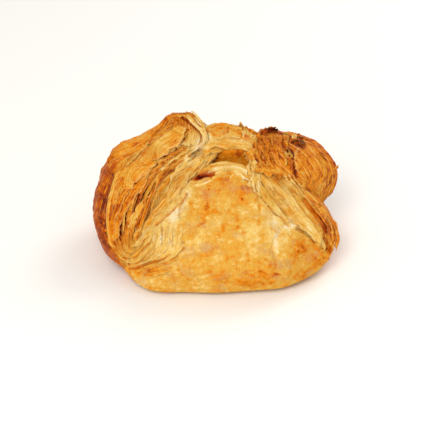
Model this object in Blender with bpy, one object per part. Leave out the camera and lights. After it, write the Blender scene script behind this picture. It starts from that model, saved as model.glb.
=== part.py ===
"""A turnover pastry: a square of puff pastry with its four corners folded to the middle, baked until the
cut edges have opened into leaves.

The pastry is one solid. A bun on a wide low sole carries six folds, each a loft that runs from a side of
the square to the middle: its two cut faces are ridged with the edges of the leaves, and its outer sheet is
the smooth crust.
Metres, +Z up, the front fold faces -Y, and the origin is on the flat underside.
"""

import bpy
import bmesh
import math
import numpy as np

# The bun under the folds and the sole it stands on: half width, half depth, underside, belly and top
BUN = (0.0480, 0.0350, 0.0040, 0.0130, 0.0330)
SOLE = (0.0540, 0.0425, 0.0, 0.0090, 0.0200)
MOUND_SQUARENESS = 2.4
MOUND_SEGMENTS = 40
MOUND_RINGS = 14
UNDERSIDE_SINK = 1.6

# How far in and down a fold's end is tucked under the pastry
TUCK_IN = 0.90
TUCK_DOWN = 0.0065

# The four corners of the folded square, where the leaves are pinched together
FRONT_LEFT = (-0.0445, -0.0350, 0.0075)
FRONT_RIGHT = (0.0540, -0.0245, 0.0085)
BACK_LEFT = (-0.0420, 0.0350, 0.0080)
BACK_RIGHT = (0.0470, 0.0330, 0.0080)

# How finely a fold is lofted. A leaf's edge rises slowly across its width and drops into the next gap.
FOLD_STEPS = 22
LEAF_PROFILE = ((0.05, 0.0), (0.30, 0.65), (0.84, 1.0))
WIDE_LEAF_PROFILE = ((0.02, 0.0), (0.12, 0.55), (0.35, 0.45), (0.65, 0.55), (0.93, 1.0))
WIDE_LEAF = 2.0
SEED = 7

# The dent down the front crust beside its right corner: place across it, half width, share of the crown
DENT_AT = 0.745
DENT_WIDTH = 0.035
DENT_DEPTH = 0.09


def curve_through(points, places):
    """A Catmull-Rom curve through the points, read at places from 0 to 1 along it."""
    knots = np.array(points, float)
    padded = np.vstack([2 * knots[0] - knots[1], knots, 2 * knots[-1] - knots[-2]])
    along = np.clip(np.asarray(places, float), 0, 1) * (len(knots) - 1)
    start = np.minimum(along.astype(int), len(knots) - 2)
    u = (along - start)[:, None]
    before, here, there, after = (padded[start + k] for k in range(4))
    return 0.5 * (
        2 * here
        + (there - before) * u
        + (2 * before - 5 * here + 4 * there - after) * u**2
        + (3 * here - before - 3 * there + after) * u**3
    )


def unit(vectors):
    """Each row scaled to length 1."""
    return vectors / np.maximum(np.linalg.norm(vectors, axis=-1, keepdims=True), 1e-9)


def cut_face(inner, outer, outward, leaves, lip, bulge, places, rng):
    """The columns of a cut face, inner edge to outer: a ridge for each (width, stand) leaf."""
    swell = np.sin(np.pi * places) ** 0.5
    total = sum(width for width, _ in leaves)
    begun = 0.0
    columns = []
    for width, stand in leaves:
        waves, phase = rng.uniform(1.0, 2.6), rng.uniform(0, 2 * np.pi)
        wave = np.sin(2 * np.pi * waves * places + phase)
        profile = WIDE_LEAF_PROFILE if width >= WIDE_LEAF else LEAF_PROFILE
        for across, height in profile:
            share = (begun + width * across + 0.15 * wave) / total
            rise = lip * stand * height * (1 + 0.25 * wave) + bulge * 4 * share * (1 - share)
            spot = inner + (outer - inner) * np.clip(share, 0, 1)[:, None]
            columns.append(spot + outward * (rise * swell)[:, None])
        begun += width
    return columns


def fold_rings(shape, rng):
    """The rings of one fold, from its side of the square to the middle."""
    places = np.linspace(0, 1, FOLD_STEPS)
    edges = ("near_inner", "near_outer", "far_outer", "far_inner")
    near_inner, near_outer, far_outer, far_inner = (curve_through(shape[edge], places) for edge in edges)
    outward = unit((near_inner + near_outer) - (far_inner + far_outer))
    crown = curve_through(shape["crown"], places)
    first, last = shape["fullness"]
    fullness = (first + (last - first) * places)[:, None]
    lip, bulge = shape["lip"], shape["bulge"]
    near = cut_face(near_inner, near_outer, outward, shape["near_leaves"], lip, bulge, places, rng)
    far = cut_face(far_inner, far_outer, -outward, shape["far_leaves"], lip, bulge, places, rng)
    dent = shape["dent"] * (1 - places)[:, None] ** 2
    sheet = []
    for b in np.linspace(0, 1, shape["sheet_points"]):
        drawn_in = dent * np.exp(-(((b - DENT_AT) / DENT_WIDTH) ** 2))
        swell = 1 - np.abs(2 * b - 1) ** fullness - drawn_in
        sheet.append(near_outer + (far_outer - near_outer) * b + crown * swell)
    return np.stack([*near, *sheet, *far[::-1]], axis=1)


def tuck_under(rings):
    """The rings with one more before the first, so that the fold ends under the pastry."""
    tucked = rings[:1] * (TUCK_IN, TUCK_IN, 1) - (0, 0, TUCK_DOWN)
    tucked[..., 2] = np.maximum(tucked[..., 2], 0.0006)
    return np.concatenate([tucked, rings])


def closed_loft(name, rings):
    """A closed mesh object through rings of equal length, its ends filled by fans."""
    steps, around, _ = rings.shape
    mesh = bmesh.new()
    grid = [[mesh.verts.new(point) for point in ring] for ring in rings]
    for row, following in zip(grid, grid[1:]):
        for k in range(around):
            after = (k + 1) % around
            mesh.faces.new((row[k], row[after], following[after], following[k]))
    for row in (grid[0], grid[-1]):
        middle = mesh.verts.new(np.mean([v.co for v in row], axis=0))
        for k in range(around):
            mesh.faces.new((row[k], middle, row[(k + 1) % around]))
    bmesh.ops.recalc_face_normals(mesh, faces=mesh.faces)
    data = bpy.data.meshes.new(name)
    mesh.to_mesh(data)
    mesh.free()
    return bpy.data.objects.new(name, data)


def make_mound(name, size):
    """A rounded square mound with a flat underside: a sphere reshaped."""
    half_width, half_depth, underside, belly, top = size
    mesh = bmesh.new()
    bmesh.ops.create_uvsphere(mesh, u_segments=MOUND_SEGMENTS, v_segments=MOUND_RINGS, radius=1)
    for vert in mesh.verts:
        turn = math.atan2(vert.co.y, vert.co.x)
        flat = math.hypot(vert.co.x, vert.co.y)
        reach = (
            abs(math.cos(turn) / half_width) ** MOUND_SQUARENESS
            + abs(math.sin(turn) / half_depth) ** MOUND_SQUARENESS
        ) ** (-1 / MOUND_SQUARENESS)
        out = reach * flat**0.6
        if vert.co.z < 0:
            height = max(underside, belly + (belly - underside) * UNDERSIDE_SINK * vert.co.z)
        else:
            height = belly + (top - belly) * vert.co.z
        vert.co = (out * math.cos(turn), out * math.sin(turn), height)
    data = bpy.data.meshes.new(name)
    mesh.to_mesh(data)
    mesh.free()
    return bpy.data.objects.new(name, data)


# Each fold's two cut faces run between an inner and an outer edge, given by a few points from the side of
# the square to the middle. The crown is how far the sheet between them bulges at a few places, and the
# fullness is how boxy that bulge is at the side and in the middle. A leaf is its width beside the other
# leaves' and how far it stands out, from the inner edge to the outer one, and the lip is that in metres.
FOLDS = {
    "front_fold": {
        "near_inner": (
            (-0.042, -0.033, 0.007),
            (-0.028, -0.017, 0.021),
            (-0.018, -0.011, 0.029),
            (-0.010, -0.006, 0.037),
            (-0.003, -0.001, 0.041),
        ),
        "near_outer": (
            (-0.0450, -0.0365, 0.0085),
            (-0.0310, -0.0210, 0.0255),
            (-0.0205, -0.0140, 0.0335),
            (-0.0115, -0.0085, 0.0420),
            (-0.0035, -0.0030, 0.0465),
        ),
        "far_outer": (
            (0.0550, -0.0265, 0.0100),
            (0.0410, -0.0230, 0.0215),
            (0.0335, -0.0190, 0.0265),
            (0.0225, -0.0120, 0.0395),
            (0.0145, -0.0040, 0.0465),
        ),
        "far_inner": (
            (0.050, -0.019, 0.006),
            (0.036, -0.020, 0.018),
            (0.029, -0.014, 0.023),
            (0.019, -0.007, 0.034),
            (0.012, -0.001, 0.041),
        ),
        "crown": (
            (0, -0.0150, -0.0065),
            (0, -0.0195, -0.0030),
            (0, -0.0190, 0.0015),
            (0, -0.0165, 0.0035),
            (0, -0.0135, 0.0035),
            (0, -0.0095, 0.0030),
            (0, -0.0060, 0.0020),
            (0, -0.0025, 0.0010),
            (0, 0, 0.0005),
        ),
        "fullness": (6.5, 2.2),
        "dent": DENT_DEPTH,
        "near_leaves": ((1, 1), (1, 1), (1, 1)),
        "far_leaves": ((1, 1), (1, 1), (1, 1)),
        "sheet_points": 27,
        "lip": 0.0008,
        "bulge": 0.0,
    },
    "left_fold": {
        "near_inner": (
            (-0.0410, -0.0330, 0.0100),
            (-0.0330, -0.0170, 0.0310),
            (-0.0260, -0.0050, 0.0410),
            (-0.0140, 0.0040, 0.0480),
            (-0.0055, 0.0110, 0.0520),
            (-0.0070, 0.0200, 0.0575),
            (-0.0130, 0.0260, 0.0600),
        ),
        "near_outer": (
            FRONT_LEFT,
            (-0.0530, -0.0250, 0.0200),
            (-0.0545, -0.0140, 0.0320),
            (-0.0485, 0.0020, 0.0430),
            (-0.0370, 0.0140, 0.0480),
            (-0.0280, 0.0210, 0.0540),
            (-0.0215, 0.0260, 0.0595),
        ),
        "far_outer": (
            BACK_LEFT,
            (-0.0515, 0.0270, 0.0190),
            (-0.0525, 0.0270, 0.0310),
            (-0.0455, 0.0290, 0.0410),
            (-0.0350, 0.0320, 0.0455),
            (-0.0275, 0.0320, 0.0515),
            (-0.0220, 0.0290, 0.0585),
        ),
        "far_inner": (
            (-0.0380, 0.0330, 0.0100),
            (-0.0360, 0.0300, 0.0200),
            (-0.0320, 0.0280, 0.0280),
            (-0.0250, 0.0280, 0.0340),
            (-0.0180, 0.0280, 0.0400),
            (-0.0140, 0.0280, 0.0480),
            (-0.0140, 0.0280, 0.0580),
        ),
        "crown": (
            (-0.0150, 0, 0.002),
            (-0.0045, 0, 0.003),
            (-0.0030, 0, 0.003),
            (-0.0010, 0, 0.002),
            (0, 0, 0),
        ),
        "fullness": (3.0, 2.2),
        "dent": 0.0,
        "near_leaves": (
            (0.8, 1.2),
            (0.7, 1.0),
            (0.8, 1.2),
            (1.5, 0.8),
            (0.7, 1.0),
            (0.9, 0.8),
            (3.2, 0.7),
            (0.8, 0.9),
            (1.4, 0.4),
        ),
        "far_leaves": ((1, 1), (2, 1), (1, 1), (1, 0.7), (2, 1)),
        "sheet_points": 9,
        "lip": 0.0026,
        "bulge": 0.001,
    },
    "left_leaves": {
        "near_inner": (
            (-0.041, -0.034, 0.009),
            (-0.031, -0.020, 0.022),
            (-0.020, -0.013, 0.031),
            (-0.011, -0.007, 0.039),
            (-0.005, -0.002, 0.043),
        ),
        "near_outer": (
            (-0.043, -0.033, 0.010),
            (-0.034, -0.016, 0.030),
            (-0.026, -0.005, 0.040),
            (-0.015, 0.002, 0.046),
            (-0.006, 0.005, 0.047),
        ),
        "far_outer": (
            (-0.044, -0.004, 0.011),
            (-0.036, 0.006, 0.028),
            (-0.028, 0.010, 0.036),
            (-0.016, 0.010, 0.042),
            (-0.008, 0.008, 0.045),
        ),
        "far_inner": (
            (-0.040, -0.006, 0.009),
            (-0.030, 0.002, 0.020),
            (-0.020, 0.006, 0.028),
            (-0.011, 0.006, 0.034),
            (-0.006, 0.003, 0.040),
        ),
        "crown": ((0, 0, 0), (0, 0, 0)),
        "fullness": (2.0, 2.0),
        "dent": 0.0,
        "near_leaves": ((1.6, 0.9), (0.8, 0.7), (1.9, 1.1), (0.8, 1.0)),
        "far_leaves": ((1, 0),),
        "sheet_points": 4,
        "lip": 0.0020,
        "bulge": 0.0,
    },
    "right_fold": {
        "near_inner": (
            (0.048, -0.022, 0.010),
            (0.043, -0.022, 0.0185),
            (0.033, -0.017, 0.0255),
            (0.024, -0.011, 0.037),
            (0.018, -0.004, 0.044),
        ),
        "near_outer": (
            FRONT_RIGHT,
            (0.0580, -0.018, 0.016),
            (0.0540, -0.010, 0.023),
            (0.0470, -0.004, 0.030),
            (0.0330, 0.001, 0.040),
        ),
        "far_outer": (
            BACK_RIGHT,
            (0.0500, 0.022, 0.015),
            (0.0480, 0.016, 0.023),
            (0.0430, 0.010, 0.030),
            (0.0330, 0.006, 0.038),
        ),
        "far_inner": (
            (0.045, 0.031, 0.010),
            (0.042, 0.022, 0.016),
            (0.036, 0.016, 0.022),
            (0.030, 0.010, 0.028),
            (0.024, 0.004, 0.034),
        ),
        "crown": ((0.006, 0, 0.001), (0.001, 0, 0), (0, 0, 0), (0, 0, 0)),
        "fullness": (2.6, 2.2),
        "dent": 0.0,
        "near_leaves": ((4.0, 0.6), (1.1, -0.8), (0.9, 0.8), (1.2, 1.0)),
        "far_leaves": ((1, 1), (2, 1), (1, 1)),
        "sheet_points": 7,
        "lip": 0.0026,
        "bulge": 0.002,
    },
    "browned_fold": {
        "near_inner": (
            (0.050, 0.001, 0.022),
            (0.036, -0.002, 0.037),
            (0.024, -0.003, 0.043),
            (0.017, 0.002, 0.046),
            (0.016, 0.010, 0.047),
            (0.018, 0.020, 0.047),
        ),
        "near_outer": (
            (0.051, 0.002, 0.023),
            (0.057, 0.009, 0.024),
            (0.059, 0.018, 0.032),
            (0.053, 0.025, 0.040),
            (0.041, 0.029, 0.045),
            (0.023, 0.027, 0.049),
        ),
        "far_outer": (
            (0.050, 0.020, 0.014),
            (0.053, 0.030, 0.020),
            (0.048, 0.034, 0.028),
            (0.040, 0.035, 0.035),
            (0.032, 0.034, 0.040),
            (0.020, 0.031, 0.045),
        ),
        "far_inner": (
            (0.044, 0.018, 0.014),
            (0.040, 0.020, 0.020),
            (0.036, 0.022, 0.024),
            (0.030, 0.024, 0.028),
            (0.024, 0.026, 0.034),
            (0.018, 0.028, 0.042),
        ),
        "crown": ((0, 0, 0), (0.002, 0.002, 0.001), (0.001, 0.003, 0.002), (0, 0.002, 0.001)),
        "fullness": (2.2, 2.2),
        "dent": 0.0,
        "near_leaves": (
            (0.8, 1),
            (0.7, 1),
            (1.1, 1),
            (0.7, 1),
            (0.9, 1.2),
            (2.6, 0.8),
            (0.8, 1),
            (0.7, 1),
            (0.8, 1),
        ),
        "far_leaves": ((1, 1), (2, 1), (1, 1)),
        "sheet_points": 6,
        "lip": 0.0014,
        "bulge": 0.005,
    },
    "back_fold": {
        "near_inner": (
            (-0.040, 0.033, 0.0085),
            (-0.032, 0.028, 0.022),
            (-0.022, 0.022, 0.034),
            (-0.010, 0.015, 0.041),
            (-0.006, 0.010, 0.043),
        ),
        "near_outer": (
            (-0.042, 0.037, 0.010),
            (-0.034, 0.033, 0.026),
            (-0.024, 0.027, 0.041),
            (-0.012, 0.016, 0.0475),
            (-0.006, 0.0085, 0.0490),
        ),
        "far_outer": (
            (0.047, 0.035, 0.010),
            (0.038, 0.032, 0.026),
            (0.030, 0.026, 0.039),
            (0.022, 0.017, 0.046),
            (0.014, 0.0080, 0.0485),
        ),
        "far_inner": (
            (0.045, 0.031, 0.0085),
            (0.036, 0.026, 0.022),
            (0.028, 0.021, 0.033),
            (0.020, 0.014, 0.040),
            (0.014, 0.010, 0.043),
        ),
        "crown": (
            (0, 0.009, -0.003),
            (0, 0.010, 0.003),
            (0, 0.007, 0.009),
            (0, 0.004, 0.006),
            (0, 0, 0.002),
        ),
        "fullness": (3.4, 2.4),
        "dent": 0.0,
        "near_leaves": ((1, 1), (1, 1), (1, 1)),
        "far_leaves": ((1, 1), (1, 1), (1, 1)),
        "sheet_points": 13,
        "lip": 0.0012,
        "bulge": 0.0,
    },
}


def pastry_material():
    """The baked crust: golden, fairly matt."""
    material = bpy.data.materials.new("baked_crust")
    material.use_nodes = True
    shader = material.node_tree.nodes["Principled BSDF"]
    shader.inputs["Base Color"].default_value = (0.72, 0.40, 0.13, 1)
    shader.inputs["Roughness"].default_value = 0.6
    return material


def fill_air_pockets(data):
    """Removes every closed surface but the largest: the others are walls of pockets inside the solid."""
    mesh = bmesh.new()
    mesh.from_mesh(data)
    unseen = set(mesh.verts)
    surfaces = []
    while unseen:
        reached = [unseen.pop()]
        for vert in reached:
            for edge in vert.link_edges:
                other = edge.other_vert(vert)
                if other in unseen:
                    unseen.remove(other)
                    reached.append(other)
        surfaces.append(reached)
    surfaces.sort(key=len)
    for pocket in surfaces[:-1]:
        bmesh.ops.delete(mesh, geom=pocket, context="VERTS")
    mesh.to_mesh(data)
    mesh.free()


def join_folds(bun, folds):
    """One solid from the bun and its folds, by a Boolean union that is then applied."""
    bpy.context.scene.collection.objects.link(bun)
    parts = bpy.data.collections.new("folds")
    bpy.context.scene.collection.children.link(parts)
    for fold in folds:
        parts.objects.link(fold)
    union = bun.modifiers.new("union", "BOOLEAN")
    union.operation = "UNION"
    union.operand_type = "COLLECTION"
    union.collection = parts
    union.solver = "MANIFOLD"
    graph = bpy.context.evaluated_depsgraph_get()
    joined = bpy.data.meshes.new_from_object(bun.evaluated_get(graph))
    for fold in folds:
        bpy.data.objects.remove(fold)
    bpy.data.objects.remove(bun)
    bpy.data.collections.remove(parts)
    fill_air_pockets(joined)
    return joined


def main():
    for old in list(bpy.data.objects):
        bpy.data.objects.remove(old)
    rng = np.random.default_rng(SEED)
    rings = {name: fold_rings(shape, rng) for name, shape in FOLDS.items()}
    folds = [closed_loft(name, tuck_under(fold)) for name, fold in rings.items()]
    folds.append(make_mound("sole", SOLE))
    pastry = bpy.data.objects.new("pastry", join_folds(make_mound("bun", BUN), folds))
    pastry.data.materials.clear()
    pastry.data.materials.append(pastry_material())
    collection = bpy.data.collections.new("turnover_pastry")
    bpy.context.scene.collection.children.link(collection)
    collection.objects.link(pastry)


main()
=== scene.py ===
# %% [markdown]
# # A turnover pastry
#
# A square of puff pastry is folded up to the middle at its four corners and baked. Steam blows the dough
# apart into dozens of sheets, each thinner than a fingernail. The outside of a fold bakes to a smooth crust,
# and its cut faces open like the pages of a book. This lesson builds that: folds as lofts, leaves as thin
# curved sheets, and a crust whose colour comes from how long each place was in the heat.

import bpy
import numpy as np
from mathutils import Matrix


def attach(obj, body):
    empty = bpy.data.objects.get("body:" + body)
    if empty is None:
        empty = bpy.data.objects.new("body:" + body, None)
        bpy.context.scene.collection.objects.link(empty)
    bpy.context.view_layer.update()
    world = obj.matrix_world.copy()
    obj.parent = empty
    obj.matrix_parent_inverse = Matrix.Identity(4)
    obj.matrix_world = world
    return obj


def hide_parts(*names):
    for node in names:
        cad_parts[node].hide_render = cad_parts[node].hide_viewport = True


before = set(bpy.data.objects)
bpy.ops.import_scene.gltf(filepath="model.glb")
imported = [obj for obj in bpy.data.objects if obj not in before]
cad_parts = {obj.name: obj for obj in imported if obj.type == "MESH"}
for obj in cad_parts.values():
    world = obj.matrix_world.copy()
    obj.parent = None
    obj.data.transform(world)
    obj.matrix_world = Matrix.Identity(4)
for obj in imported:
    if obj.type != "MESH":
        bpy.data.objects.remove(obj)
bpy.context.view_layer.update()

# %% [markdown]
# ## The view and the light
#
# The camera looks down at 32 degrees onto the front fold. A long lens keeps the perspective flat, as in a
# food photograph. A broad lamp over the left shoulder, a weaker one from behind on the right and a pale sky
# give soft shadows, so the leaves are drawn by their own shading and not by hard light.

# %% Camera, floor and lamps
VIEW_HEIGHT = np.radians(32)
VIEW_DISTANCE = 0.75
VIEW_TARGET = np.array((0.0032, 0.0, 0.0124))
VIEW_WIDTH = 0.218
SENSOR = 36.0
LAMP_SIZE = 0.50
LAMP_TARGET = (0, 0, 0.02)
LAMPS = (
    ("over_left_shoulder", (-0.20, -0.72, 0.70), 6.7, (1.0, 0.95, 0.88)),
    ("from_behind_right", (0.50, 0.60, 0.60), 3.4, (1.0, 0.98, 0.95)),
)


def aim(thing, place, target):
    """Turns a lamp or camera so that its -Z axis points from place to target, with its Y axis up."""
    away = np.array(place, float) - np.array(target, float)
    away /= np.linalg.norm(away)
    right = np.cross((0, 0, 1), away)
    right /= np.linalg.norm(right)
    axes = np.eye(4)
    axes[:3, :4] = np.column_stack((right, np.cross(away, right), away, place))
    thing.matrix_world = Matrix(axes.tolist())


def add_lamp(name, place, power, tint):
    """A square soft lamp aimed at the pastry."""
    lamp = bpy.data.lights.new(name, "AREA")
    lamp.size = LAMP_SIZE
    lamp.energy = power
    lamp.color = tint
    thing = bpy.data.objects.new(name, lamp)
    bpy.context.scene.collection.objects.link(thing)
    aim(thing, place, LAMP_TARGET)


lens = bpy.data.cameras.new("view")
lens.sensor_width = SENSOR
lens.lens = SENSOR * VIEW_DISTANCE / VIEW_WIDTH
camera = bpy.data.objects.new("view", lens)
bpy.context.scene.collection.objects.link(camera)
away = np.array((0, -np.cos(VIEW_HEIGHT), np.sin(VIEW_HEIGHT)))
aim(camera, VIEW_TARGET + VIEW_DISTANCE * away, VIEW_TARGET)
bpy.context.scene.camera = camera

for name, place, power, tint in LAMPS:
    add_lamp(name, place, power, tint)
sky = bpy.data.worlds.new("sky")
sky.use_nodes = True
sky.node_tree.nodes["Background"].inputs["Color"].default_value = (1.0, 0.99, 0.97, 1)
sky.node_tree.nodes["Background"].inputs["Strength"].default_value = 0.66
bpy.context.scene.world = sky
bpy.context.scene.view_settings.view_transform = "Standard"

bpy.ops.mesh.primitive_plane_add(size=3, location=(0, 0, 0))
floor = bpy.context.object
floor.name = "floor"
paint = bpy.data.materials.new("pale_floor")
paint.use_nodes = True
paint.node_tree.nodes["Principled BSDF"].inputs["Base Color"].default_value = (0.88, 0.87, 0.85, 1)
paint.node_tree.nodes["Principled BSDF"].inputs["Roughness"].default_value = 0.6
floor.data.materials.append(paint)
print("camera", round(lens.lens, 1), "mm, lamps", len(LAMPS))

# %% [markdown]
# ## Curves and random unevenness
#
# Two helpers do most of the work. The first reads a smooth curve through a few given points. The
# second gives soft random heights: random values sit on the corners of a grid in space, and any point
# between them is an eased blend of its eight corners. Nothing in a baked pastry is even, so every surface
# below is disturbed by it at more than one size.

# %% Curves and unevenness
LATTICE = 17
LATTICE_START = 64.37


def curve_through(points, places):
    """A Catmull-Rom curve through the points, read at places from 0 to 1 along it."""
    knots = np.array(points, float)
    padded = np.vstack([2 * knots[0] - knots[1], knots, 2 * knots[-1] - knots[-2]])
    along = np.clip(np.asarray(places, float), 0, 1) * (len(knots) - 1)
    start = np.minimum(along.astype(int), len(knots) - 2)
    u = (along - start)[:, None]
    before, here, there, after = (padded[start + k] for k in range(4))
    return 0.5 * (
        2 * here
        + (there - before) * u
        + (2 * before - 5 * here + 4 * there - after) * u**2
        + (3 * here - before - 3 * there + after) * u**3
    )


def unit(vectors):
    """Each vector scaled to length 1."""
    return vectors / np.maximum(np.linalg.norm(vectors, axis=-1, keepdims=True), 1e-9)


def smoothstep(low, high, value):
    """0 below low, 1 above high, and an eased rise between: 3u^2 - 2u^3."""
    u = np.clip((value - low) / (high - low), 0, 1)
    return u * u * (3 - 2 * u)


def unevenness(points, size, seed):
    """Soft random heights from -1 to 1: lattice values `size` apart, blended with weights 3f^2 - 2f^3."""
    table = np.random.default_rng(seed).uniform(-1, 1, (LATTICE,) * 3)
    place = points / size + LATTICE_START
    cell = np.floor(place).astype(int)
    ease = place - cell
    ease = ease * ease * (3 - 2 * ease)
    total = np.zeros(points.shape[:-1])
    for corner in np.ndindex(2, 2, 2):
        weight = np.prod(np.where(corner, ease, 1 - ease), axis=-1)
        total += weight * table[tuple(np.moveaxis((cell + corner) % LATTICE, -1, 0))]
    return total


def rough(points, size, seed, octaves=3):
    """Unevenness at several sizes: each next one is half the size and half the height."""
    return sum(unevenness(points, size / 2**k, seed + k) / 2**k for k in range(octaves))


print("unevenness ready, lattice", LATTICE)

# %% [markdown]
# ## From a grid of points to a piece
#
# A skin is a grid of points: rows go from the side of the square to the middle, and each row runs round the
# shape. Faces join neighbours, the last column joins the first, and a fan closes each end. Every point
# also carries how baked it is (0 raw dough, 1 scorched), how much painted highlight it takes as a thin rim,
# how much painted shade it takes deep in a gap, and where it is along and across the leaves, so that the
# materials can follow the shape.

# %% Skins and pieces
# rim is how much pale painted highlight a point takes, gap how much painted shade.
FIELDS = ("bake", "rim", "gap", "leaf")


def skin(grid, **fields):
    """A closed skin: (rows, around, 3) points, and a value or an array of each field."""
    full = {name: np.broadcast_to(fields.get(name, 0.0), grid.shape[:2]).astype(float) for name in FIELDS}
    full["grain"] = fields.get("grain", np.zeros(grid.shape))
    return grid, full


def skin_faces(rows, around, first):
    """The quads between neighbouring rows, and the fans to the two end points that follow the grid."""
    index = first + np.arange(rows * around).reshape(rows, around)
    after = np.roll(index, -1, axis=1)
    quads = np.stack([index[:-1], after[:-1], after[1:], index[1:]], axis=-1).reshape(-1, 4)
    start = np.full(around, first + rows * around)
    fans = np.concatenate([
        np.stack([start, after[0], index[0]], axis=-1),
        np.stack([start + 1, index[-1], after[-1]], axis=-1),
    ])
    return quads, fans


def closed_volume(points, quads, fans):
    """The signed volume of a closed skin: a sixth of the sum of its triangles' triple products."""
    triangles = np.concatenate([quads[:, [0, 1, 2]], quads[:, [0, 2, 3]], fans])
    a, b, c = (points[triangles[:, k]] for k in range(3))
    return np.einsum("ij,ij->", a, np.cross(b, c)) / 6


def make_piece(name, skins, material):
    """One mesh object from one or more skins, facing outwards, with its fields as attributes."""
    points, quads, fans, first = [], [], [], 0
    values = {field: [] for field in (*FIELDS, "grain")}
    for grid, fields in skins:
        rows, around = grid.shape[:2]
        ends = np.stack([grid[0].mean(axis=0), grid[-1].mean(axis=0)])
        mine = np.concatenate([grid.reshape(-1, 3), ends])
        some_quads, some_fans = skin_faces(rows, around, 0)
        if closed_volume(mine, some_quads, some_fans) < 0:
            some_quads, some_fans = some_quads[:, ::-1], some_fans[:, ::-1]
        points.append(mine)
        quads.append(some_quads + first)
        fans.append(some_fans + first)
        first += len(mine)
        for field, parts in values.items():
            table = fields.get(field, np.zeros(grid.shape[:2]))
            parts.append(table.reshape(rows * around, -1))
            parts.append(np.stack([table[0].mean(axis=0), table[-1].mean(axis=0)]).reshape(2, -1))
    mesh = bpy.data.meshes.new(name)
    faces = np.concatenate(quads).tolist() + np.concatenate(fans).tolist()
    mesh.from_pydata(np.concatenate(points), [], faces)
    for field, parts in values.items():
        kind, slot = ("FLOAT_VECTOR", "vector") if field == "grain" else ("FLOAT", "value")
        layer = mesh.attributes.new(field, kind, "POINT")
        layer.data.foreach_set(slot, np.concatenate(parts).astype(np.float32).ravel())
    mesh.shade_smooth()
    mesh.materials.append(material)
    piece = bpy.data.objects.new(name, mesh)
    bpy.context.scene.collection.objects.link(piece)
    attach(piece, "root")
    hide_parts("pastry")
    print(name, len(mesh.polygons), "faces")


print("fields of a skin:", FIELDS, "and grain")

# %% [markdown]
# ## How a crust takes colour
#
# Dough browns in order: cream, straw, gold, amber, chestnut and at last near black. One colour ramp holds
# that order, and a single number, the bake, says how far each place has gone. The groups below add what
# every crust shares: blotches where butter pooled and fine streaks along the leaves. They also paint light:
# a pale painted highlight on thin rims and warm painted shade in gaps. They give out only colours and
# heights, and the shader itself stays in each material.

# %% Shader helpers
BAKING_ORDER = (
    (0.00, (0.90, 0.74, 0.45)),
    (0.20, (0.84, 0.57, 0.170)),
    (0.42, (0.745, 0.385, 0.052)),
    (0.60, (0.74, 0.235, 0.006)),
    (0.76, (0.46, 0.082, 0.003)),
    (0.90, (0.17, 0.022, 0.006)),
    (1.00, (0.050, 0.012, 0.008)),
)
DULL_BROWN = (0.60, 0.35, 0.15, 1)
PAINTED_RIM_HIGHLIGHT = (0.92, 0.60, 0.20, 1)
GAP_SHADE = (0.66, 0.24, 0.05, 1)


def new_group(name, inputs, outputs):
    """An empty shader node group with named sockets, and its input and output nodes."""
    group = bpy.data.node_groups.new(name, "ShaderNodeTree")
    for label, kind, value in inputs:
        socket = group.interface.new_socket(name=label, in_out="INPUT", socket_type=kind)
        if value is not None:
            socket.default_value = value
    for label, kind in outputs:
        group.interface.new_socket(name=label, in_out="OUTPUT", socket_type=kind)
    return group, group.nodes.new("NodeGroupInput"), group.nodes.new("NodeGroupOutput")


def noise_node(tree, vector, scale, detail=3.0, roughness=0.55):
    """A noise texture read at a vector."""
    node = tree.nodes.new("ShaderNodeTexNoise")
    node.inputs["Scale"].default_value = scale
    node.inputs["Detail"].default_value = detail
    node.inputs["Roughness"].default_value = roughness
    tree.links.new(vector, node.inputs["Vector"])
    return node.outputs["Fac"]


def math_node(tree, operation, first, second, third=None, clamp=False):
    """A math node on sockets or numbers, held between 0 and 1 if asked."""
    node = tree.nodes.new("ShaderNodeMath")
    node.operation = operation
    node.use_clamp = clamp
    for socket, value in zip(node.inputs, (first, second, third)):
        if isinstance(value, bpy.types.NodeSocket):
            tree.links.new(value, socket)
        elif value is not None:
            socket.default_value = value
    return node.outputs[0]


def stretched(tree, vector, scale):
    """The vector multiplied by a scale along each axis."""
    node = tree.nodes.new("ShaderNodeVectorMath")
    node.operation = "MULTIPLY"
    tree.links.new(vector, node.inputs[0])
    node.inputs[1].default_value = scale
    return node.outputs[0]


def mixed(tree, blend, amount, first, second):
    """A colour mix of two colours by an amount."""
    node = tree.nodes.new("ShaderNodeMix")
    node.data_type = "RGBA"
    node.blend_type = blend
    for label, value in (("Factor", amount), ("A", first), ("B", second)):
        if isinstance(value, bpy.types.NodeSocket):
            tree.links.new(value, node.inputs[label])
        else:
            node.inputs[label].default_value = value
    return node.outputs["Result"]


def patches(tree, vector, scale, level, sharpness):
    """A mask of irregular patches with a fairly sharp edge, where noise passes a level."""
    noise = noise_node(tree, vector, scale, 5.0, 0.6)
    return math_node(tree, "MULTIPLY_ADD", noise, sharpness, -sharpness * level, clamp=True)


print("baking order:", len(BAKING_ORDER), "colours")


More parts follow.
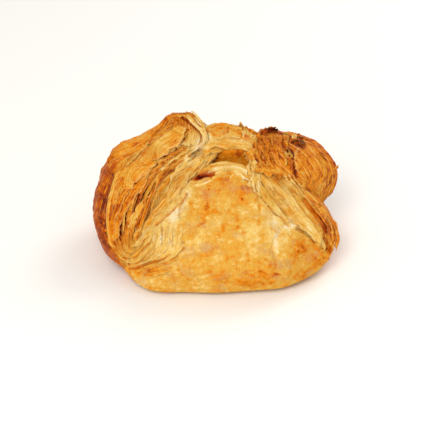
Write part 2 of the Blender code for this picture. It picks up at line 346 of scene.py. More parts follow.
# %% The crust's colour
def crust_colour_group():
    """Bake plus blotches, specks, streaks and flakes, read off the baking order. Then dull patches are mixed
    in, rims get a pale painted highlight and gaps a warm painted shade."""
    inputs = (
        ("Place", "NodeSocketVector", None),
        ("Grain", "NodeSocketVector", None),
        ("Bake", "NodeSocketFloat", 0.4),
        ("RimHighlight", "NodeSocketFloat", 0.0),
        ("GapShade", "NodeSocketFloat", 0.0),
        ("Blotches", "NodeSocketFloat", 0.2),
        ("Specks", "NodeSocketFloat", 0.1),
        ("Streaks", "NodeSocketFloat", 0.1),
        ("Flakes", "NodeSocketFloat", 0.1),
        ("Dull", "NodeSocketFloat", 0.3),
    )
    outputs = (("Color", "NodeSocketColor"), ("Bake", "NodeSocketFloat"))
    group, given, result = new_group("crust_colour", inputs, outputs)
    place, grain = given.outputs["Place"], given.outputs["Grain"]
    bake = given.outputs["Bake"]
    for name, source, scale, detail in (
        ("Blotches", place, 150.0, 4.0),
        ("Specks", place, 520.0, 3.0),
        ("Streaks", stretched(group, grain, (90.0, 1400.0, 1.0)), 1.0, 3.0),
    ):
        swing = math_node(group, "MULTIPLY_ADD", noise_node(group, source, scale, detail), 2.4, -1.2)
        bake = math_node(group, "MULTIPLY_ADD", swing, given.outputs[name], bake)
    flattened = stretched(group, place, (1.0, 1.0, 1.5))
    browner = patches(group, flattened, 230.0, 0.56, 16.0)
    paler = patches(group, flattened, 310.0, 0.55, 14.0)
    flakes = math_node(group, "SUBTRACT", browner, paler)
    bake = math_node(group, "MULTIPLY_ADD", flakes, given.outputs["Flakes"], bake)
    ramp = group.nodes.new("ShaderNodeValToRGB")
    ramp.color_ramp.interpolation = "EASE"
    stops = ramp.color_ramp.elements
    while len(stops) < len(BAKING_ORDER):
        stops.new(0.5)
    for stop, (where, colour) in zip(stops, BAKING_ORDER):
        stop.position = where
        stop.color = (*colour, 1)
    group.links.new(bake, ramp.inputs[0])
    dull = math_node(group, "MULTIPLY", patches(group, flattened, 100.0, 0.52, 6.0), given.outputs["Dull"])
    colour = mixed(group, "MIX", dull, ramp.outputs[0], DULL_BROWN)
    # Painted light: rims are mixed towards a pale painted highlight, and gaps are multiplied by painted
    # shade.
    paled = math_node(group, "MULTIPLY", given.outputs["RimHighlight"], 0.55)
    colour = mixed(group, "MIX", paled, colour, PAINTED_RIM_HIGHLIGHT)
    colour = mixed(group, "MULTIPLY", given.outputs["GapShade"], colour, GAP_SHADE)
    group.links.new(colour, result.inputs["Color"])
    group.links.new(bake, result.inputs["Bake"])
    return group


CRUST_COLOUR = crust_colour_group()
print("group:", CRUST_COLOUR.name)


# %% The crust's relief
def crust_relief_group():
    """Blisters, a fine crumb and hair-thin streaks along the leaves, added up as one height."""
    inputs = (
        ("Place", "NodeSocketVector", None),
        ("Grain", "NodeSocketVector", None),
        ("Blisters", "NodeSocketFloat", 0.3),
        ("Crumb", "NodeSocketFloat", 0.3),
        ("Streaks", "NodeSocketFloat", 0.3),
    )
    group, given, result = new_group("crust_relief", inputs, (("Height", "NodeSocketFloat"),))
    place, grain = given.outputs["Place"], given.outputs["Grain"]
    height = 0.0
    for name, source, scale in (
        ("Blisters", place, 380.0),
        ("Crumb", place, 1500.0),
        ("Streaks", stretched(group, grain, (110.0, 1250.0, 1.0)), 1.0),
    ):
        noise = noise_node(group, source, scale)
        height = math_node(group, "MULTIPLY_ADD", noise, given.outputs[name], height)
    group.links.new(height, result.inputs["Height"])
    return group


CRUST_RELIEF = crust_relief_group()
print("group:", CRUST_RELIEF.name)

# %% [markdown]
# ## Three finishes
#
# The smooth outer crust is speckled and mottled with dull patches, and has a low buttery gloss. The leaves
# are streaked along their length. The browned corner is streaked too, with no dull patches. All three use
# the same groups with other values. A little light passes through the smooth crust. The loose sheets are
# thinner than that light travels, and would lose its red, so they do without.

# %% Materials
BUMP_DEPTH = 0.0012
GLOW_DEPTH = 0.0010
GLOW_COLOURS = (1.0, 0.40, 0.08)


def crust_material(
    name, blotches, specks, streaks, flakes, dull, blisters, crumb, relief, roughness, gloss, glow
):
    """A baked finish: the shared colour and relief groups around one Principled shader."""
    material = bpy.data.materials.new(name)
    material.use_nodes = True
    tree = material.node_tree
    shader = tree.nodes["Principled BSDF"]
    place = tree.nodes.new("ShaderNodeTexCoord").outputs["Object"]
    fields = {}
    for field in (*FIELDS, "grain"):
        reader = tree.nodes.new("ShaderNodeAttribute")
        reader.attribute_name = field
        fields[field] = reader.outputs["Vector" if field == "grain" else "Fac"]
    colour = tree.nodes.new("ShaderNodeGroup")
    colour.node_tree = CRUST_COLOUR
    height = tree.nodes.new("ShaderNodeGroup")
    height.node_tree = CRUST_RELIEF
    for node in (colour, height):
        tree.links.new(place, node.inputs["Place"])
        tree.links.new(fields["grain"], node.inputs["Grain"])
    for socket, field in (("Bake", "bake"), ("RimHighlight", "rim"), ("GapShade", "gap")):
        tree.links.new(fields[field], colour.inputs[socket])
    for socket, value in (("Blotches", blotches), ("Specks", specks), ("Flakes", flakes), ("Dull", dull)):
        colour.inputs[socket].default_value = value
    for socket, value in (("Blisters", blisters), ("Crumb", crumb)):
        height.inputs[socket].default_value = value
    for node, value in ((colour, streaks), (height, relief)):
        tree.links.new(math_node(tree, "MULTIPLY", fields["leaf"], value), node.inputs["Streaks"])
    bump = tree.nodes.new("ShaderNodeBump")
    bump.inputs["Strength"].default_value = 0.9
    bump.inputs["Distance"].default_value = BUMP_DEPTH
    tree.links.new(height.outputs["Height"], bump.inputs["Height"])
    tree.links.new(colour.outputs["Color"], shader.inputs["Base Color"])
    tree.links.new(bump.outputs["Normal"], shader.inputs["Normal"])
    shine = math_node(tree, "MULTIPLY_ADD", colour.outputs["Bake"], -0.16, roughness)
    tree.links.new(shine, shader.inputs["Roughness"])
    shader.inputs["Specular IOR Level"].default_value = gloss
    shader.inputs["Subsurface Weight"].default_value = glow
    shader.inputs["Subsurface Radius"].default_value = GLOW_COLOURS
    shader.inputs["Subsurface Scale"].default_value = GLOW_DEPTH
    return material


SMOOTH_CRUST = crust_material(
    "smooth_crust", blotches=0.14, specks=0.18, streaks=0.22, flakes=0.13, dull=0.60,
    blisters=0.60, crumb=0.80, relief=0.40, roughness=0.56, gloss=0.06, glow=0.15,
)
CUT_LEAVES = crust_material(
    "cut_leaves", blotches=0.20, specks=0.15, streaks=0.40, flakes=0.08, dull=0.12,
    blisters=0.30, crumb=0.60, relief=0.90, roughness=0.55, gloss=0.06, glow=0.0,
)
BROWNED_CRUST = crust_material(
    "browned_crust", blotches=0.20, specks=0.13, streaks=0.28, flakes=0.08, dull=0.0,
    blisters=0.35, crumb=0.60, relief=0.90, roughness=0.55, gloss=0.05, glow=0.0,
)
print("materials:", [m.name for m in (SMOOTH_CRUST, CUT_LEAVES, BROWNED_CRUST)])

# %% [markdown]
# ## Marks placed as they show from the front
#
# Some colours and cracks belong to a place: the pale dough at a seam, the scorched top of the browned
# corner. They are placed in the front view, counted in points, 447 across, from its top left corner. Any
# surface point can be asked where it shows there, so a mark lands on the surface and stays on it.

# %% Places in the front view
VIEW_POINTS = 447
FOCAL = VIEW_POINTS * VIEW_DISTANCE / VIEW_WIDTH
EYE = VIEW_TARGET + VIEW_DISTANCE * away
VIEW_AXES = np.array(((1, 0, 0), (0, np.sin(VIEW_HEIGHT), np.cos(VIEW_HEIGHT)), -away))


def seen_at(points):
    """Where each point shows from the front (right and down, in view points) and how far it is."""
    local = (points - EYE) @ VIEW_AXES.T
    depth = local[..., 2]
    right = VIEW_POINTS / 2 + FOCAL * local[..., 0] / depth
    return np.stack([right, VIEW_POINTS / 2 - FOCAL * local[..., 1] / depth], axis=-1), depth


def placed_at(view, depth):
    """The point in space that shows at a place in the front view, at a distance from the eye."""
    flat = (view - VIEW_POINTS / 2) * (1, -1) / FOCAL
    local = np.concatenate([flat, np.ones(flat.shape[:-1] + (1,))], axis=-1) * depth[..., None]
    return EYE + local @ VIEW_AXES


def marked(points, marks):
    """The sum of soft ellipses (right, down, half width, half height, turn in degrees, amount):
    amount * exp(-(x / half width)^2 - (y / half height)^2) about each one's own axes."""
    view = seen_at(points)[0]
    total = np.zeros(points.shape[:-1])
    for right, down, wide, high, turn, amount in marks:
        cosine, sine = np.cos(np.radians(turn)), np.sin(np.radians(turn))
        dx, dy = view[..., 0] - right, view[..., 1] - down
        along, aside = cosine * dx + sine * dy, cosine * dy - sine * dx
        total += amount * np.exp(-((along / wide) ** 2) - (aside / high) ** 2)
    return total


def near_line(points, line, width, wander=0.8):
    """1 on a smooth line in the front view and less away from it: exp(-(distance / width)^2). The line
    wanders a little from side to side."""
    aside = np.stack([unevenness(points, 0.004, 301), unevenness(points, 0.004, 302)], axis=-1)
    view = seen_at(points)[0] + wander * aside
    corners = curve_through(line, np.linspace(0, 1, 4 * len(line)))
    least = np.full(points.shape[:-1], 1e3)
    for start, end in zip(corners[:-1], corners[1:]):
        run = end - start
        share = np.clip(((view - start) @ run) / max(run @ run, 1e-9), 0, 1)
        least = np.minimum(least, np.linalg.norm(view - start - share[..., None] * run, axis=-1))
    return np.exp(-((least / width) ** 2))


def cracks(points, lines):
    """How deep (metres) and how dark cracks are, the darkness being painted shade in the crack: each is
    (line, half width in view points, depth, dark).
    """
    deep = np.zeros(points.shape[:-1])
    dark = np.zeros(points.shape[:-1])
    for line, width, depth, shade in lines:
        near = near_line(points, line, width)
        deep = np.maximum(deep, depth * near)
        dark = np.maximum(dark, shade * near)
    return deep, dark


print("the eye is at", EYE.round(3))

# %% [markdown]
# ## A fold, from four edge curves
#
# Each fold is a loft. Four curves run from a side of the square to the middle: the inner and outer edges of
# its near cut face, and the same of its far one. Between the outer edges the crust swells by a crown. The
# curves are the ones that the solid was built from, read more finely. A cut face is then ridged by its
# leaves: each stands up sharply at its torn edge and sinks under the next one.

# %% The folds' edges
FRONT_LEFT = (-0.0445, -0.0350, 0.0075)
FRONT_RIGHT = (0.0540, -0.0245, 0.0085)
BACK_LEFT = (-0.0420, 0.0350, 0.0080)
BACK_RIGHT = (0.0470, 0.0330, 0.0080)

FOLDS = {
    "front_fold": {
        "near_inner": ((-0.042, -0.033, 0.007), (-0.028, -0.017, 0.021), (-0.018, -0.011, 0.029),
                       (-0.010, -0.006, 0.037), (-0.003, -0.001, 0.041)),
        "near_outer": ((-0.0450, -0.0365, 0.0085), (-0.0310, -0.0210, 0.0255), (-0.0205, -0.0140, 0.0335),
                       (-0.0115, -0.0085, 0.0420), (-0.0035, -0.0030, 0.0465)),
        "far_outer": ((0.0550, -0.0265, 0.0100), (0.0410, -0.0230, 0.0215), (0.0335, -0.0190, 0.0265),
                      (0.0225, -0.0120, 0.0395), (0.0145, -0.0040, 0.0465)),
        "far_inner": ((0.050, -0.019, 0.006), (0.036, -0.020, 0.018), (0.029, -0.014, 0.023),
                      (0.019, -0.007, 0.034), (0.012, -0.001, 0.041)),
        "crown": ((0, -0.0150, -0.0065), (0, -0.0195, -0.0030), (0, -0.0190, 0.0015), (0, -0.0165, 0.0035),
                  (0, -0.0135, 0.0035), (0, -0.0095, 0.0030), (0, -0.0060, 0.0020), (0, -0.0025, 0.0010),
                  (0, 0, 0.0005)),
        "fullness": (6.5, 2.2),
    },
    "left_fold": {
        "near_inner": ((-0.0410, -0.0330, 0.0100), (-0.0330, -0.0170, 0.0310), (-0.0260, -0.0050, 0.0410),
                       (-0.0140, 0.0040, 0.0480), (-0.0055, 0.0110, 0.0520), (-0.0070, 0.0200, 0.0575),
                       (-0.0130, 0.0260, 0.0600)),
        "near_outer": (FRONT_LEFT, (-0.0530, -0.0250, 0.0200), (-0.0545, -0.0140, 0.0320),
                       (-0.0485, 0.0020, 0.0430), (-0.0370, 0.0140, 0.0480), (-0.0280, 0.0210, 0.0540),
                       (-0.0215, 0.0260, 0.0595)),
        "far_outer": (BACK_LEFT, (-0.0515, 0.0270, 0.0190), (-0.0525, 0.0270, 0.0310),
                      (-0.0455, 0.0290, 0.0410), (-0.0350, 0.0320, 0.0455), (-0.0275, 0.0320, 0.0515),
                      (-0.0220, 0.0290, 0.0585)),
        "far_inner": ((-0.0380, 0.0330, 0.0100), (-0.0360, 0.0300, 0.0200), (-0.0320, 0.0280, 0.0280),
                      (-0.0250, 0.0280, 0.0340), (-0.0180, 0.0280, 0.0400), (-0.0140, 0.0280, 0.0480),
                      (-0.0140, 0.0280, 0.0580)),
        "crown": ((-0.0150, 0, 0.002), (-0.0045, 0, 0.003), (-0.0030, 0, 0.003), (-0.0010, 0, 0.002),
                  (0, 0, 0)),
        "fullness": (3.0, 2.2),
    },
    "left_leaves": {
        "near_inner": ((-0.041, -0.034, 0.009), (-0.031, -0.020, 0.022), (-0.020, -0.013, 0.031),
                       (-0.011, -0.007, 0.039), (-0.005, -0.002, 0.043)),
        "near_outer": ((-0.043, -0.033, 0.010), (-0.034, -0.016, 0.030), (-0.026, -0.005, 0.040),
                       (-0.015, 0.002, 0.046), (-0.006, 0.005, 0.047)),
        "far_outer": ((-0.044, -0.004, 0.011), (-0.036, 0.006, 0.028), (-0.028, 0.010, 0.036),
                      (-0.016, 0.010, 0.042), (-0.008, 0.008, 0.045)),
        "far_inner": ((-0.040, -0.006, 0.009), (-0.030, 0.002, 0.020), (-0.020, 0.006, 0.028),
                      (-0.011, 0.006, 0.034), (-0.006, 0.003, 0.040)),
        "crown": ((0, 0, 0), (0, 0, 0)),
        "fullness": (2.0, 2.0),
    },
    "right_fold": {
        "near_inner": ((0.048, -0.022, 0.010), (0.043, -0.022, 0.0185), (0.033, -0.017, 0.0255),
                       (0.024, -0.011, 0.037), (0.018, -0.004, 0.044)),
        "near_outer": (FRONT_RIGHT, (0.0580, -0.018, 0.016), (0.0540, -0.010, 0.023),
                       (0.0470, -0.004, 0.030), (0.0330, 0.001, 0.040)),
        "far_outer": (BACK_RIGHT, (0.0500, 0.022, 0.015), (0.0480, 0.016, 0.023), (0.0430, 0.010, 0.030),
                      (0.0330, 0.006, 0.038)),
        "far_inner": ((0.045, 0.031, 0.010), (0.042, 0.022, 0.016), (0.036, 0.016, 0.022),
                      (0.030, 0.010, 0.028), (0.024, 0.004, 0.034)),
        "crown": ((0.006, 0, 0.001), (0.001, 0, 0), (0, 0, 0), (0, 0, 0)),
        "fullness": (2.6, 2.2),
    },
    "browned_fold": {
        "near_inner": ((0.050, 0.001, 0.022), (0.036, -0.002, 0.037), (0.024, -0.003, 0.043),
                       (0.017, 0.002, 0.046), (0.016, 0.010, 0.047), (0.018, 0.020, 0.047)),
        "near_outer": ((0.051, 0.002, 0.023), (0.057, 0.009, 0.024), (0.059, 0.018, 0.032),
                       (0.053, 0.025, 0.040), (0.041, 0.029, 0.045), (0.023, 0.027, 0.049)),
        "far_outer": ((0.050, 0.020, 0.014), (0.053, 0.030, 0.020), (0.048, 0.034, 0.028),
                      (0.040, 0.035, 0.035), (0.032, 0.034, 0.040), (0.020, 0.031, 0.045)),
        "far_inner": ((0.044, 0.018, 0.014), (0.040, 0.020, 0.020), (0.036, 0.022, 0.024),
                      (0.030, 0.024, 0.028), (0.024, 0.026, 0.034), (0.018, 0.028, 0.042)),
        "crown": ((0, 0, 0), (0.002, 0.002, 0.001), (0.001, 0.003, 0.002), (0, 0.002, 0.001)),
        "fullness": (2.2, 2.2),
    },
    "back_fold": {
        "near_inner": ((-0.040, 0.033, 0.0085), (-0.032, 0.028, 0.022), (-0.022, 0.022, 0.034),
                       (-0.010, 0.015, 0.041), (-0.006, 0.010, 0.043)),
        "near_outer": ((-0.042, 0.037, 0.010), (-0.034, 0.033, 0.026), (-0.024, 0.027, 0.041),
                       (-0.012, 0.016, 0.0475), (-0.006, 0.0085, 0.0490)),
        "far_outer": ((0.047, 0.035, 0.010), (0.038, 0.032, 0.026), (0.030, 0.026, 0.039),
                      (0.022, 0.017, 0.046), (0.014, 0.0080, 0.0485)),
        "far_inner": ((0.045, 0.031, 0.0085), (0.036, 0.026, 0.022), (0.028, 0.021, 0.033),
                      (0.020, 0.014, 0.040), (0.014, 0.010, 0.043)),
        "crown": ((0, 0.009, -0.003), (0, 0.010, 0.003), (0, 0.007, 0.009), (0, 0.004, 0.006), (0, 0, 0.002)),
        "fullness": (3.4, 2.4),
    },
}
print("folds:", len(FOLDS))

# %% The leaves of a cut face
LEAF_RISE = 0.14
EDGES = ("near_inner", "near_outer", "far_outer", "far_inner")
NEAR, OUTER, FAR = 0, 1, 2


def curve_at(points, places):
    """curve_through for an array of places of any shape."""
    return curve_through(points, np.ravel(places)).reshape(*np.shape(places), -1)


def leaf_steps(share, edges, heights):
    """How high the fine leaves stand at each share of a cut face: each is highest at its torn inner edge,
    which rises over a seventh of its width, and sinks to nothing where the next leaf begins."""
    leaf = np.clip(np.searchsorted(edges, share, side="right") - 1, 0, len(edges) - 2)
    across = (share - edges[leaf]) / (edges[leaf + 1] - edges[leaf])
    return heights[leaf] * smoothstep(0, LEAF_RISE, across) * np.clip(1 - across, 0, 1) ** 0.8, across


def fine_leaves(count, seed):
    """Edges and heights of a number of leaves of uneven width, as shares of a cut face."""
    rng = np.random.default_rng(seed)
    widths = rng.uniform(0.5, 1.7, count)
    return np.concatenate([[0], np.cumsum(widths)]) / widths.sum(), rng.uniform(0.4, 1.2, count)


# Each cut face: its broad relief in millimetres, the number of its fine leaves, their height in
# millimetres, and how much their edges wander.
CUT_FACES = {
    ("front_fold", "near"): ((0.2, 0.3, 0.2), 4, 0.5, 0.03),
    ("front_fold", "far"): ((0.2, 0.3, 0.2), 4, 0.5, 0.03),
    ("left_fold", "near"): ((0.9, 1.3, 0.2, -0.6, -0.5, 0.3, 1.0, 1.2, 0.9, 0.2), 15, 0.6, 0.05),
    ("left_fold", "far"): ((0.3, 1.0, 0.3), 12, 1.0, 0.04),
    ("left_leaves", "near"): ((0.4, 0.8, -0.4, -0.6, 0.6, 0.8), 9, 1.1, 0.05),
    ("left_leaves", "far"): ((0.0, 0.0), 3, 0.3, 0.03),
    ("right_fold", "near"): ((0.2, 1.6, 2.2, 2.3, 2.2, 1.0, -1.0, -0.8, 0.9, 2.2, 1.8, 0.6), 9, 0.15, 0.03),
    ("right_fold", "far"): ((0.3, 1.0, 0.3), 10, 1.0, 0.04),
    ("browned_fold", "near"): ((0.2, 2.6, 4.2, 5.0, 5.2, 4.6, 2.9, 0.2), 14, 0.4, 0.05),
    ("browned_fold", "far"): ((0.2, 2.6, 0.2), 10, 1.0, 0.04),
    ("back_fold", "near"): ((0.2, 0.6, 0.2), 7, 0.8, 0.04),
    ("back_fold", "far"): ((0.2, 0.6, 0.2), 7, 0.8, 0.04),
}
print("cut faces:", len(CUT_FACES))


# %% Points of a fold
def settled(points):
    """The points drawn in near the tray, where the soft dough rounds under: by 4 to 15 % of y at the front
    and 6 % of x on the left, fading to nothing 24 mm up."""
    low = np.clip(1 - points[..., 2] / 0.024, 0, 1) ** 1.2
    x, y = points[..., 0], points[..., 1]
    front = 0.10 - 0.065 * smoothstep(-0.020, 0.004, x) + 0.12 * smoothstep(0.028, 0.047, x)
    x = x * (1 - np.where(x < 0, 0.065, 0.02) * low)
    y = y * (1 - np.where(y < 0, front, 0.04) * low)
    return np.stack([x, y, points[..., 2]], axis=-1)


def face_point(fold, side, places, share, fine=True):
    """A point of a cut face: its inner edge plus a share of the way to the outer one, raised by a broad
    relief (millimetres at even shares), by the fine leaf steps, and by unevenness."""
    near_inner, near_outer, far_outer, far_inner = (curve_at(FOLDS[fold][edge], places) for edge in EDGES)
    facing = unit((near_inner + near_outer) - (far_inner + far_outer))
    inner, outer = near_inner, near_outer
    if side == "far":
        inner, outer, facing = far_inner, far_outer, -facing
    relief, count, lip, wander = CUT_FACES[fold, side]
    seed = 100 * list(CUT_FACES).index((fold, side))
    flat = inner + (outer - inner) * share[..., None]
    swell = np.sin(np.pi * np.clip(places, 0.02, 0.98)) ** 0.5
    height = curve_at(np.array(relief)[:, None], share)[..., 0] * swell
    across = np.ones(share.shape)
    if fine:
        bent = np.clip(share + wander * rough(flat, 0.014, seed), 0, 1)
        step, across = leaf_steps(bent, *fine_leaves(count, seed))
        height = height + lip * step * swell + 0.35 * rough(flat, 0.007, seed + 9)
    return settled(flat + facing * height[..., None] * 0.001), facing, across


def outer_sheet(fold, places, columns):
    """The crust between a fold's outer edges: the straight line between them plus the crown times
    1 - |2b - 1|^fullness, where b goes from 0 at the near edge to 1 at the far one."""
    shape = FOLDS[fold]
    near, far = (curve_through(shape[edge], places)[:, None] for edge in ("near_outer", "far_outer"))
    crown = curve_through(shape["crown"], places)[:, None]
    first, last = shape["fullness"]
    fullness = (first + (last - first) * places)[:, None]
    b = np.linspace(0, 1, columns)[None]
    swell = (1 - np.abs(2 * b - 1) ** fullness)[..., None]
    return settled(near + (far - near) * b[..., None] + crown * swell)


def fold_skin(fold, rows, near_columns, sheet_columns, far_columns):
    """A fold's closed grid, and for each point its place from the side to the middle, its part (NEAR,
    OUTER or FAR), and how far across its fine leaf it lies, from the torn edge."""
    places = np.linspace(0, 1, rows)
    faces = []
    for side, columns in (("near", near_columns), ("far", far_columns)):
        share = np.broadcast_to(np.linspace(0, 1, columns), (rows, columns))
        spread = np.broadcast_to(places[:, None], (rows, columns))
        points, _, across = face_point(fold, side, spread, share)
        faces.append((points, across))
    (near, near_across), (far, far_across) = faces
    sheet = outer_sheet(fold, places, sheet_columns + 2)[:, 1:-1]
    grid = np.concatenate([near, sheet, far[:, ::-1]], axis=1)
    across = np.concatenate([near_across, np.ones(sheet.shape[:2]), far_across[:, ::-1]], axis=1)
    part = np.repeat([NEAR, OUTER, FAR], [near_columns, sheet_columns, far_columns])
    part = np.broadcast_to(part, across.shape)
    return grid, np.broadcast_to(places[:, None], across.shape), part, across


print("edge curves of a fold:", EDGES)


# %% Swelling, tucked ends and relief
TUCK_IN = 0.90
TUCK_DOWN = 0.0065
TUCK_ROWS = 8
TRAY_GAP = 0.0006


def swelled(grid, height):
    """The closed grid moved outwards along its own normals by a height in metres at each point."""
    along = np.gradient(grid, axis=0)
    around = np.roll(grid, -1, axis=1) - np.roll(grid, 1, axis=1)
    normal = unit(np.cross(along, around))
    middle = grid.mean(axis=(0, 1))
    outwards = np.sign(np.einsum("ijk,ijk->", normal, grid - middle))
    return grid + normal * height[..., None] * outwards


def tucked(grid):
    """More rows before the first, drawn in and down, so that the fold ends under the pastry."""
    end = grid[:1] * (TUCK_IN, TUCK_IN, 1) - (0, 0, TUCK_DOWN)
    end[..., 2] = np.maximum(end[..., 2], TRAY_GAP)
    share = np.linspace(0, 1, TUCK_ROWS, endpoint=False)[:, None, None]
    return np.concatenate([end + (grid[:1] - end) * share**0.7, grid])


def repeated(table):
    """The first row of a field repeated for the tucked rows."""
    return np.concatenate([np.repeat(table[:1], TUCK_ROWS, axis=0), table])


def grain_of(grid):
    """Metres along the rows and around them, so that streaks follow the leaves."""
    along = np.cumsum(np.linalg.norm(np.diff(grid, axis=0, prepend=grid[:1]), axis=-1), axis=0)
    around = np.cumsum(np.linalg.norm(np.diff(grid, axis=1, prepend=grid[:, :1]), axis=-1), axis=1)
    middle = len(grid) // 2
    around = np.broadcast_to(around[middle : middle + 1], along.shape)
    along = np.broadcast_to(along.mean(axis=1, keepdims=True), along.shape)
    return np.stack([along, around, np.zeros(along.shape)], axis=-1)


def crust_relief(grid):
    """What every smooth crust has, as heights in metres: lumps 16 mm apart, wrinkles 5 mm apart, blisters
    that only rise, and flakes with a sharp edge. Blisters and flakes come too, as numbers from 0 up."""
    scales = rough(grid * (1, 1, 1.3), 0.0065, 21)
    blisters = np.maximum(scales - 0.25, 0)
    flakes = smoothstep(0.05, 0.13, rough(grid, 0.009, 61, 4))
    flakes = flakes + 0.7 * smoothstep(0.28, 0.35, rough(grid, 0.005, 71))
    height = 0.0008 * unevenness(grid, 0.016, 5) + 0.00045 * rough(grid, 0.0055, 8) + 0.00030 * flakes
    return height + 0.0006 * blisters, blisters, flakes


print("fold surfaces ready")

# %% [markdown]
# ## The front crust
#
# This is the smooth outside of the fold nearest to us. It bakes a mottled pale gold, browner in a band
# near the tray and at the top. At its left end the dough was pinched, and thin ripples run into the pinch.
# It is the loft's grid moved along its normals: broad dents, then wrinkles, then blisters that only rise.

# %% Marks of the front crust
# Each crack: its line, half width in view points, depth in metres and darkness (painted shade in the
# crack). Each tone: right, down, half width, half height, turn in degrees, and how much more (or less) it
# is baked.
FRONT_CRACKS = (
    (((268, 206), (273, 212), (279.5, 217.5), (285, 223), (289, 226.5)), 0.9, 0.0010, 0.5),
    (((257, 189.5), (266, 202.5)), 1.0, 0.0006, 0.25),
    (((255, 193), (258.5, 201), (259, 209.5)), 1.2, 0.0004, 0.15),
    (((296, 229.5), (304, 233.5), (312.5, 240.5), (319, 245), (327, 252)), 1.2, 0.0016, 0.6),
    (((280, 232), (275.5, 241), (274.5, 250), (275.5, 258)), 2.6, 0.0011, 0.10),
    (((275.5, 258), (276, 267), (276, 276)), 2.6, 0.0005, 0.06),
    (((130, 268.5), (137, 267.5), (148, 263.5), (161, 260), (171, 256)), 1.3, 0.0016, 0.7),
    (((130, 269), (131, 276), (136, 284)), 1.5, 0.0010, 0.4),
    (((141, 273), (152, 273), (162, 270.5), (171, 267)), 1.3, 0.0007, 0.3),
    (((184, 248), (178, 255), (171, 260)), 1.2, 0.0008, 0.35),
    (((156, 225.5), (161.5, 221), (167, 216), (174, 208.5), (181, 202), (186, 194)), 1.1, 0.0016, 0.85),
    (((183, 200), (180, 209), (179, 217)), 1.2, 0.0006, 0.35),
    (((190, 231), (197, 226.5), (204.5, 221.5)), 1.6, 0.0004, 0.12),
    (((190, 177.5), (197, 177.5), (205, 175), (212, 173.8)), 2.8, 0.0022, 1.0),
)
FRONT_TONES = (
    (228, 184, 26, 11, 0, 0.13),
    (247, 187, 4, 6, 0, 0.14),
    (207, 197, 6, 9, 0, 0.10),
    (206, 213, 9, 6, 0, 0.10),
    (232, 215, 18, 10, 0, -0.06),
    (245, 276, 70, 9, 0, 0.12),
    (258, 275, 14, 5, 0, 0.12),
    (232, 281, 20, 4, 0, 0.08),
    (262, 285, 20, 4, 0, 0.10),
    (176, 213, 7, 13, 30, -0.30),
    (188, 190, 5, 12, 12, -0.24),
    (170, 238, 14, 14, 0, -0.14),
    (150, 268, 22, 6, -12, 0.16),
    (302, 255, 24, 15, -20, 0.15),
    (303, 247, 15, 12, 0, 0.08),
    (317, 261, 7, 6, 0, 0.14),
    (291, 227, 6, 4, 20, -0.40),
    (272, 222, 9, 18, -30, -0.20),
    (277, 244, 3, 11, 0, -0.25),
    (237.7, 227.6, 2.6, 2.0, 0, 0.40),
    (190.6, 203, 2.2, 2.6, 0, 0.25),
    (242.4, 199, 2.2, 2.6, 0, 0.25),
    (259, 209, 2.5, 5, 0, 0.28),
    (201, 224, 5, 1.6, -30, 0.30),
    (253.6, 245, 3, 2, 0, 0.16),
    (276, 265, 1.8, 3.2, 0, 0.22),
    (276, 275, 2.6, 2.2, 0, 0.24),
    (236, 173, 5, 3, 10, -0.34),
    (201, 176, 12, 3.2, -8, 0.44),
)
FRONT_STREAKS = ((226, 186, 32, 13, 0, 0.9), (206, 202, 10, 20, 0, 0.5), (220, 268, 60, 10, 0, 0.5))
RIPPLE_PLACE = ((170, 238, 15, 16, 0, 1.0),)
LOBE_PLACE = ((152, 268, 20, 7, -10, 1.0),)
RIPPLE_WIDTH = 5.2
print("front cracks:", len(FRONT_CRACKS), "tones:", len(FRONT_TONES))


# %% Front crust
def front_crust():
    """The front fold: loft, plus the relief that every crust has, ripples, the pinched lobe and cracks."""
    grid, place, part, _ = fold_skin("front_fold", 260, 20, 290, 20)
    view = seen_at(grid)[0]
    crust = (part == OUTER) * 1.0
    ripple_zone = marked(grid, RIPPLE_PLACE)
    wobble = view[..., 0] + 2.4 * rough(grid, 0.008, 3) + 0.002 * (view[..., 1] - 238) ** 2
    ripples = np.sin(2 * np.pi * (wobble + 0.12 * view[..., 1]) / RIPPLE_WIDTH)
    lobe = marked(grid, LOBE_PLACE)
    height, blisters, flakes = crust_relief(grid)
    height += 0.0005 * ripples * ripple_zone + 0.0012 * lobe
    deep, dark = cracks(grid, FRONT_CRACKS)
    height -= deep
    ends = np.minimum(1, 12 * place) * np.minimum(1, 14 * (1 - place))
    height *= crust * ends
    bake = 0.37 + 0.05 * rough(grid, 0.022, 31) + 0.05 * blisters + 0.07 * (flakes - 0.5)
    # Painted shade in the cracks: their darkness browns the bake here and darkens the gap field below.
    bake += marked(grid, FRONT_TONES) + 0.10 * dark - 0.05 * ripples * ripple_zone
    bake = np.where(part == OUTER, bake, 0.5)
    leaf = np.clip(marked(grid, FRONT_STREAKS), 0, 1)
    fields = {"bake": bake, "rim": np.zeros(bake.shape), "gap": dark * crust, "leaf": leaf}
    grid = tucked(swelled(grid, height))
    return grid, {**{name: repeated(table) for name, table in fields.items()}, "grain": grain_of(grid)}


front_grid = front_crust()
make_piece("front_crust", [front_grid], SMOOTH_CRUST)

# %% [markdown]
# ## The cut folds
#
# The left, right, browned and back folds show their cut faces. Each is the loft with fine leaf steps on
# those faces, and with the deep cracks between its sheets. The loose sheets come after, over them.

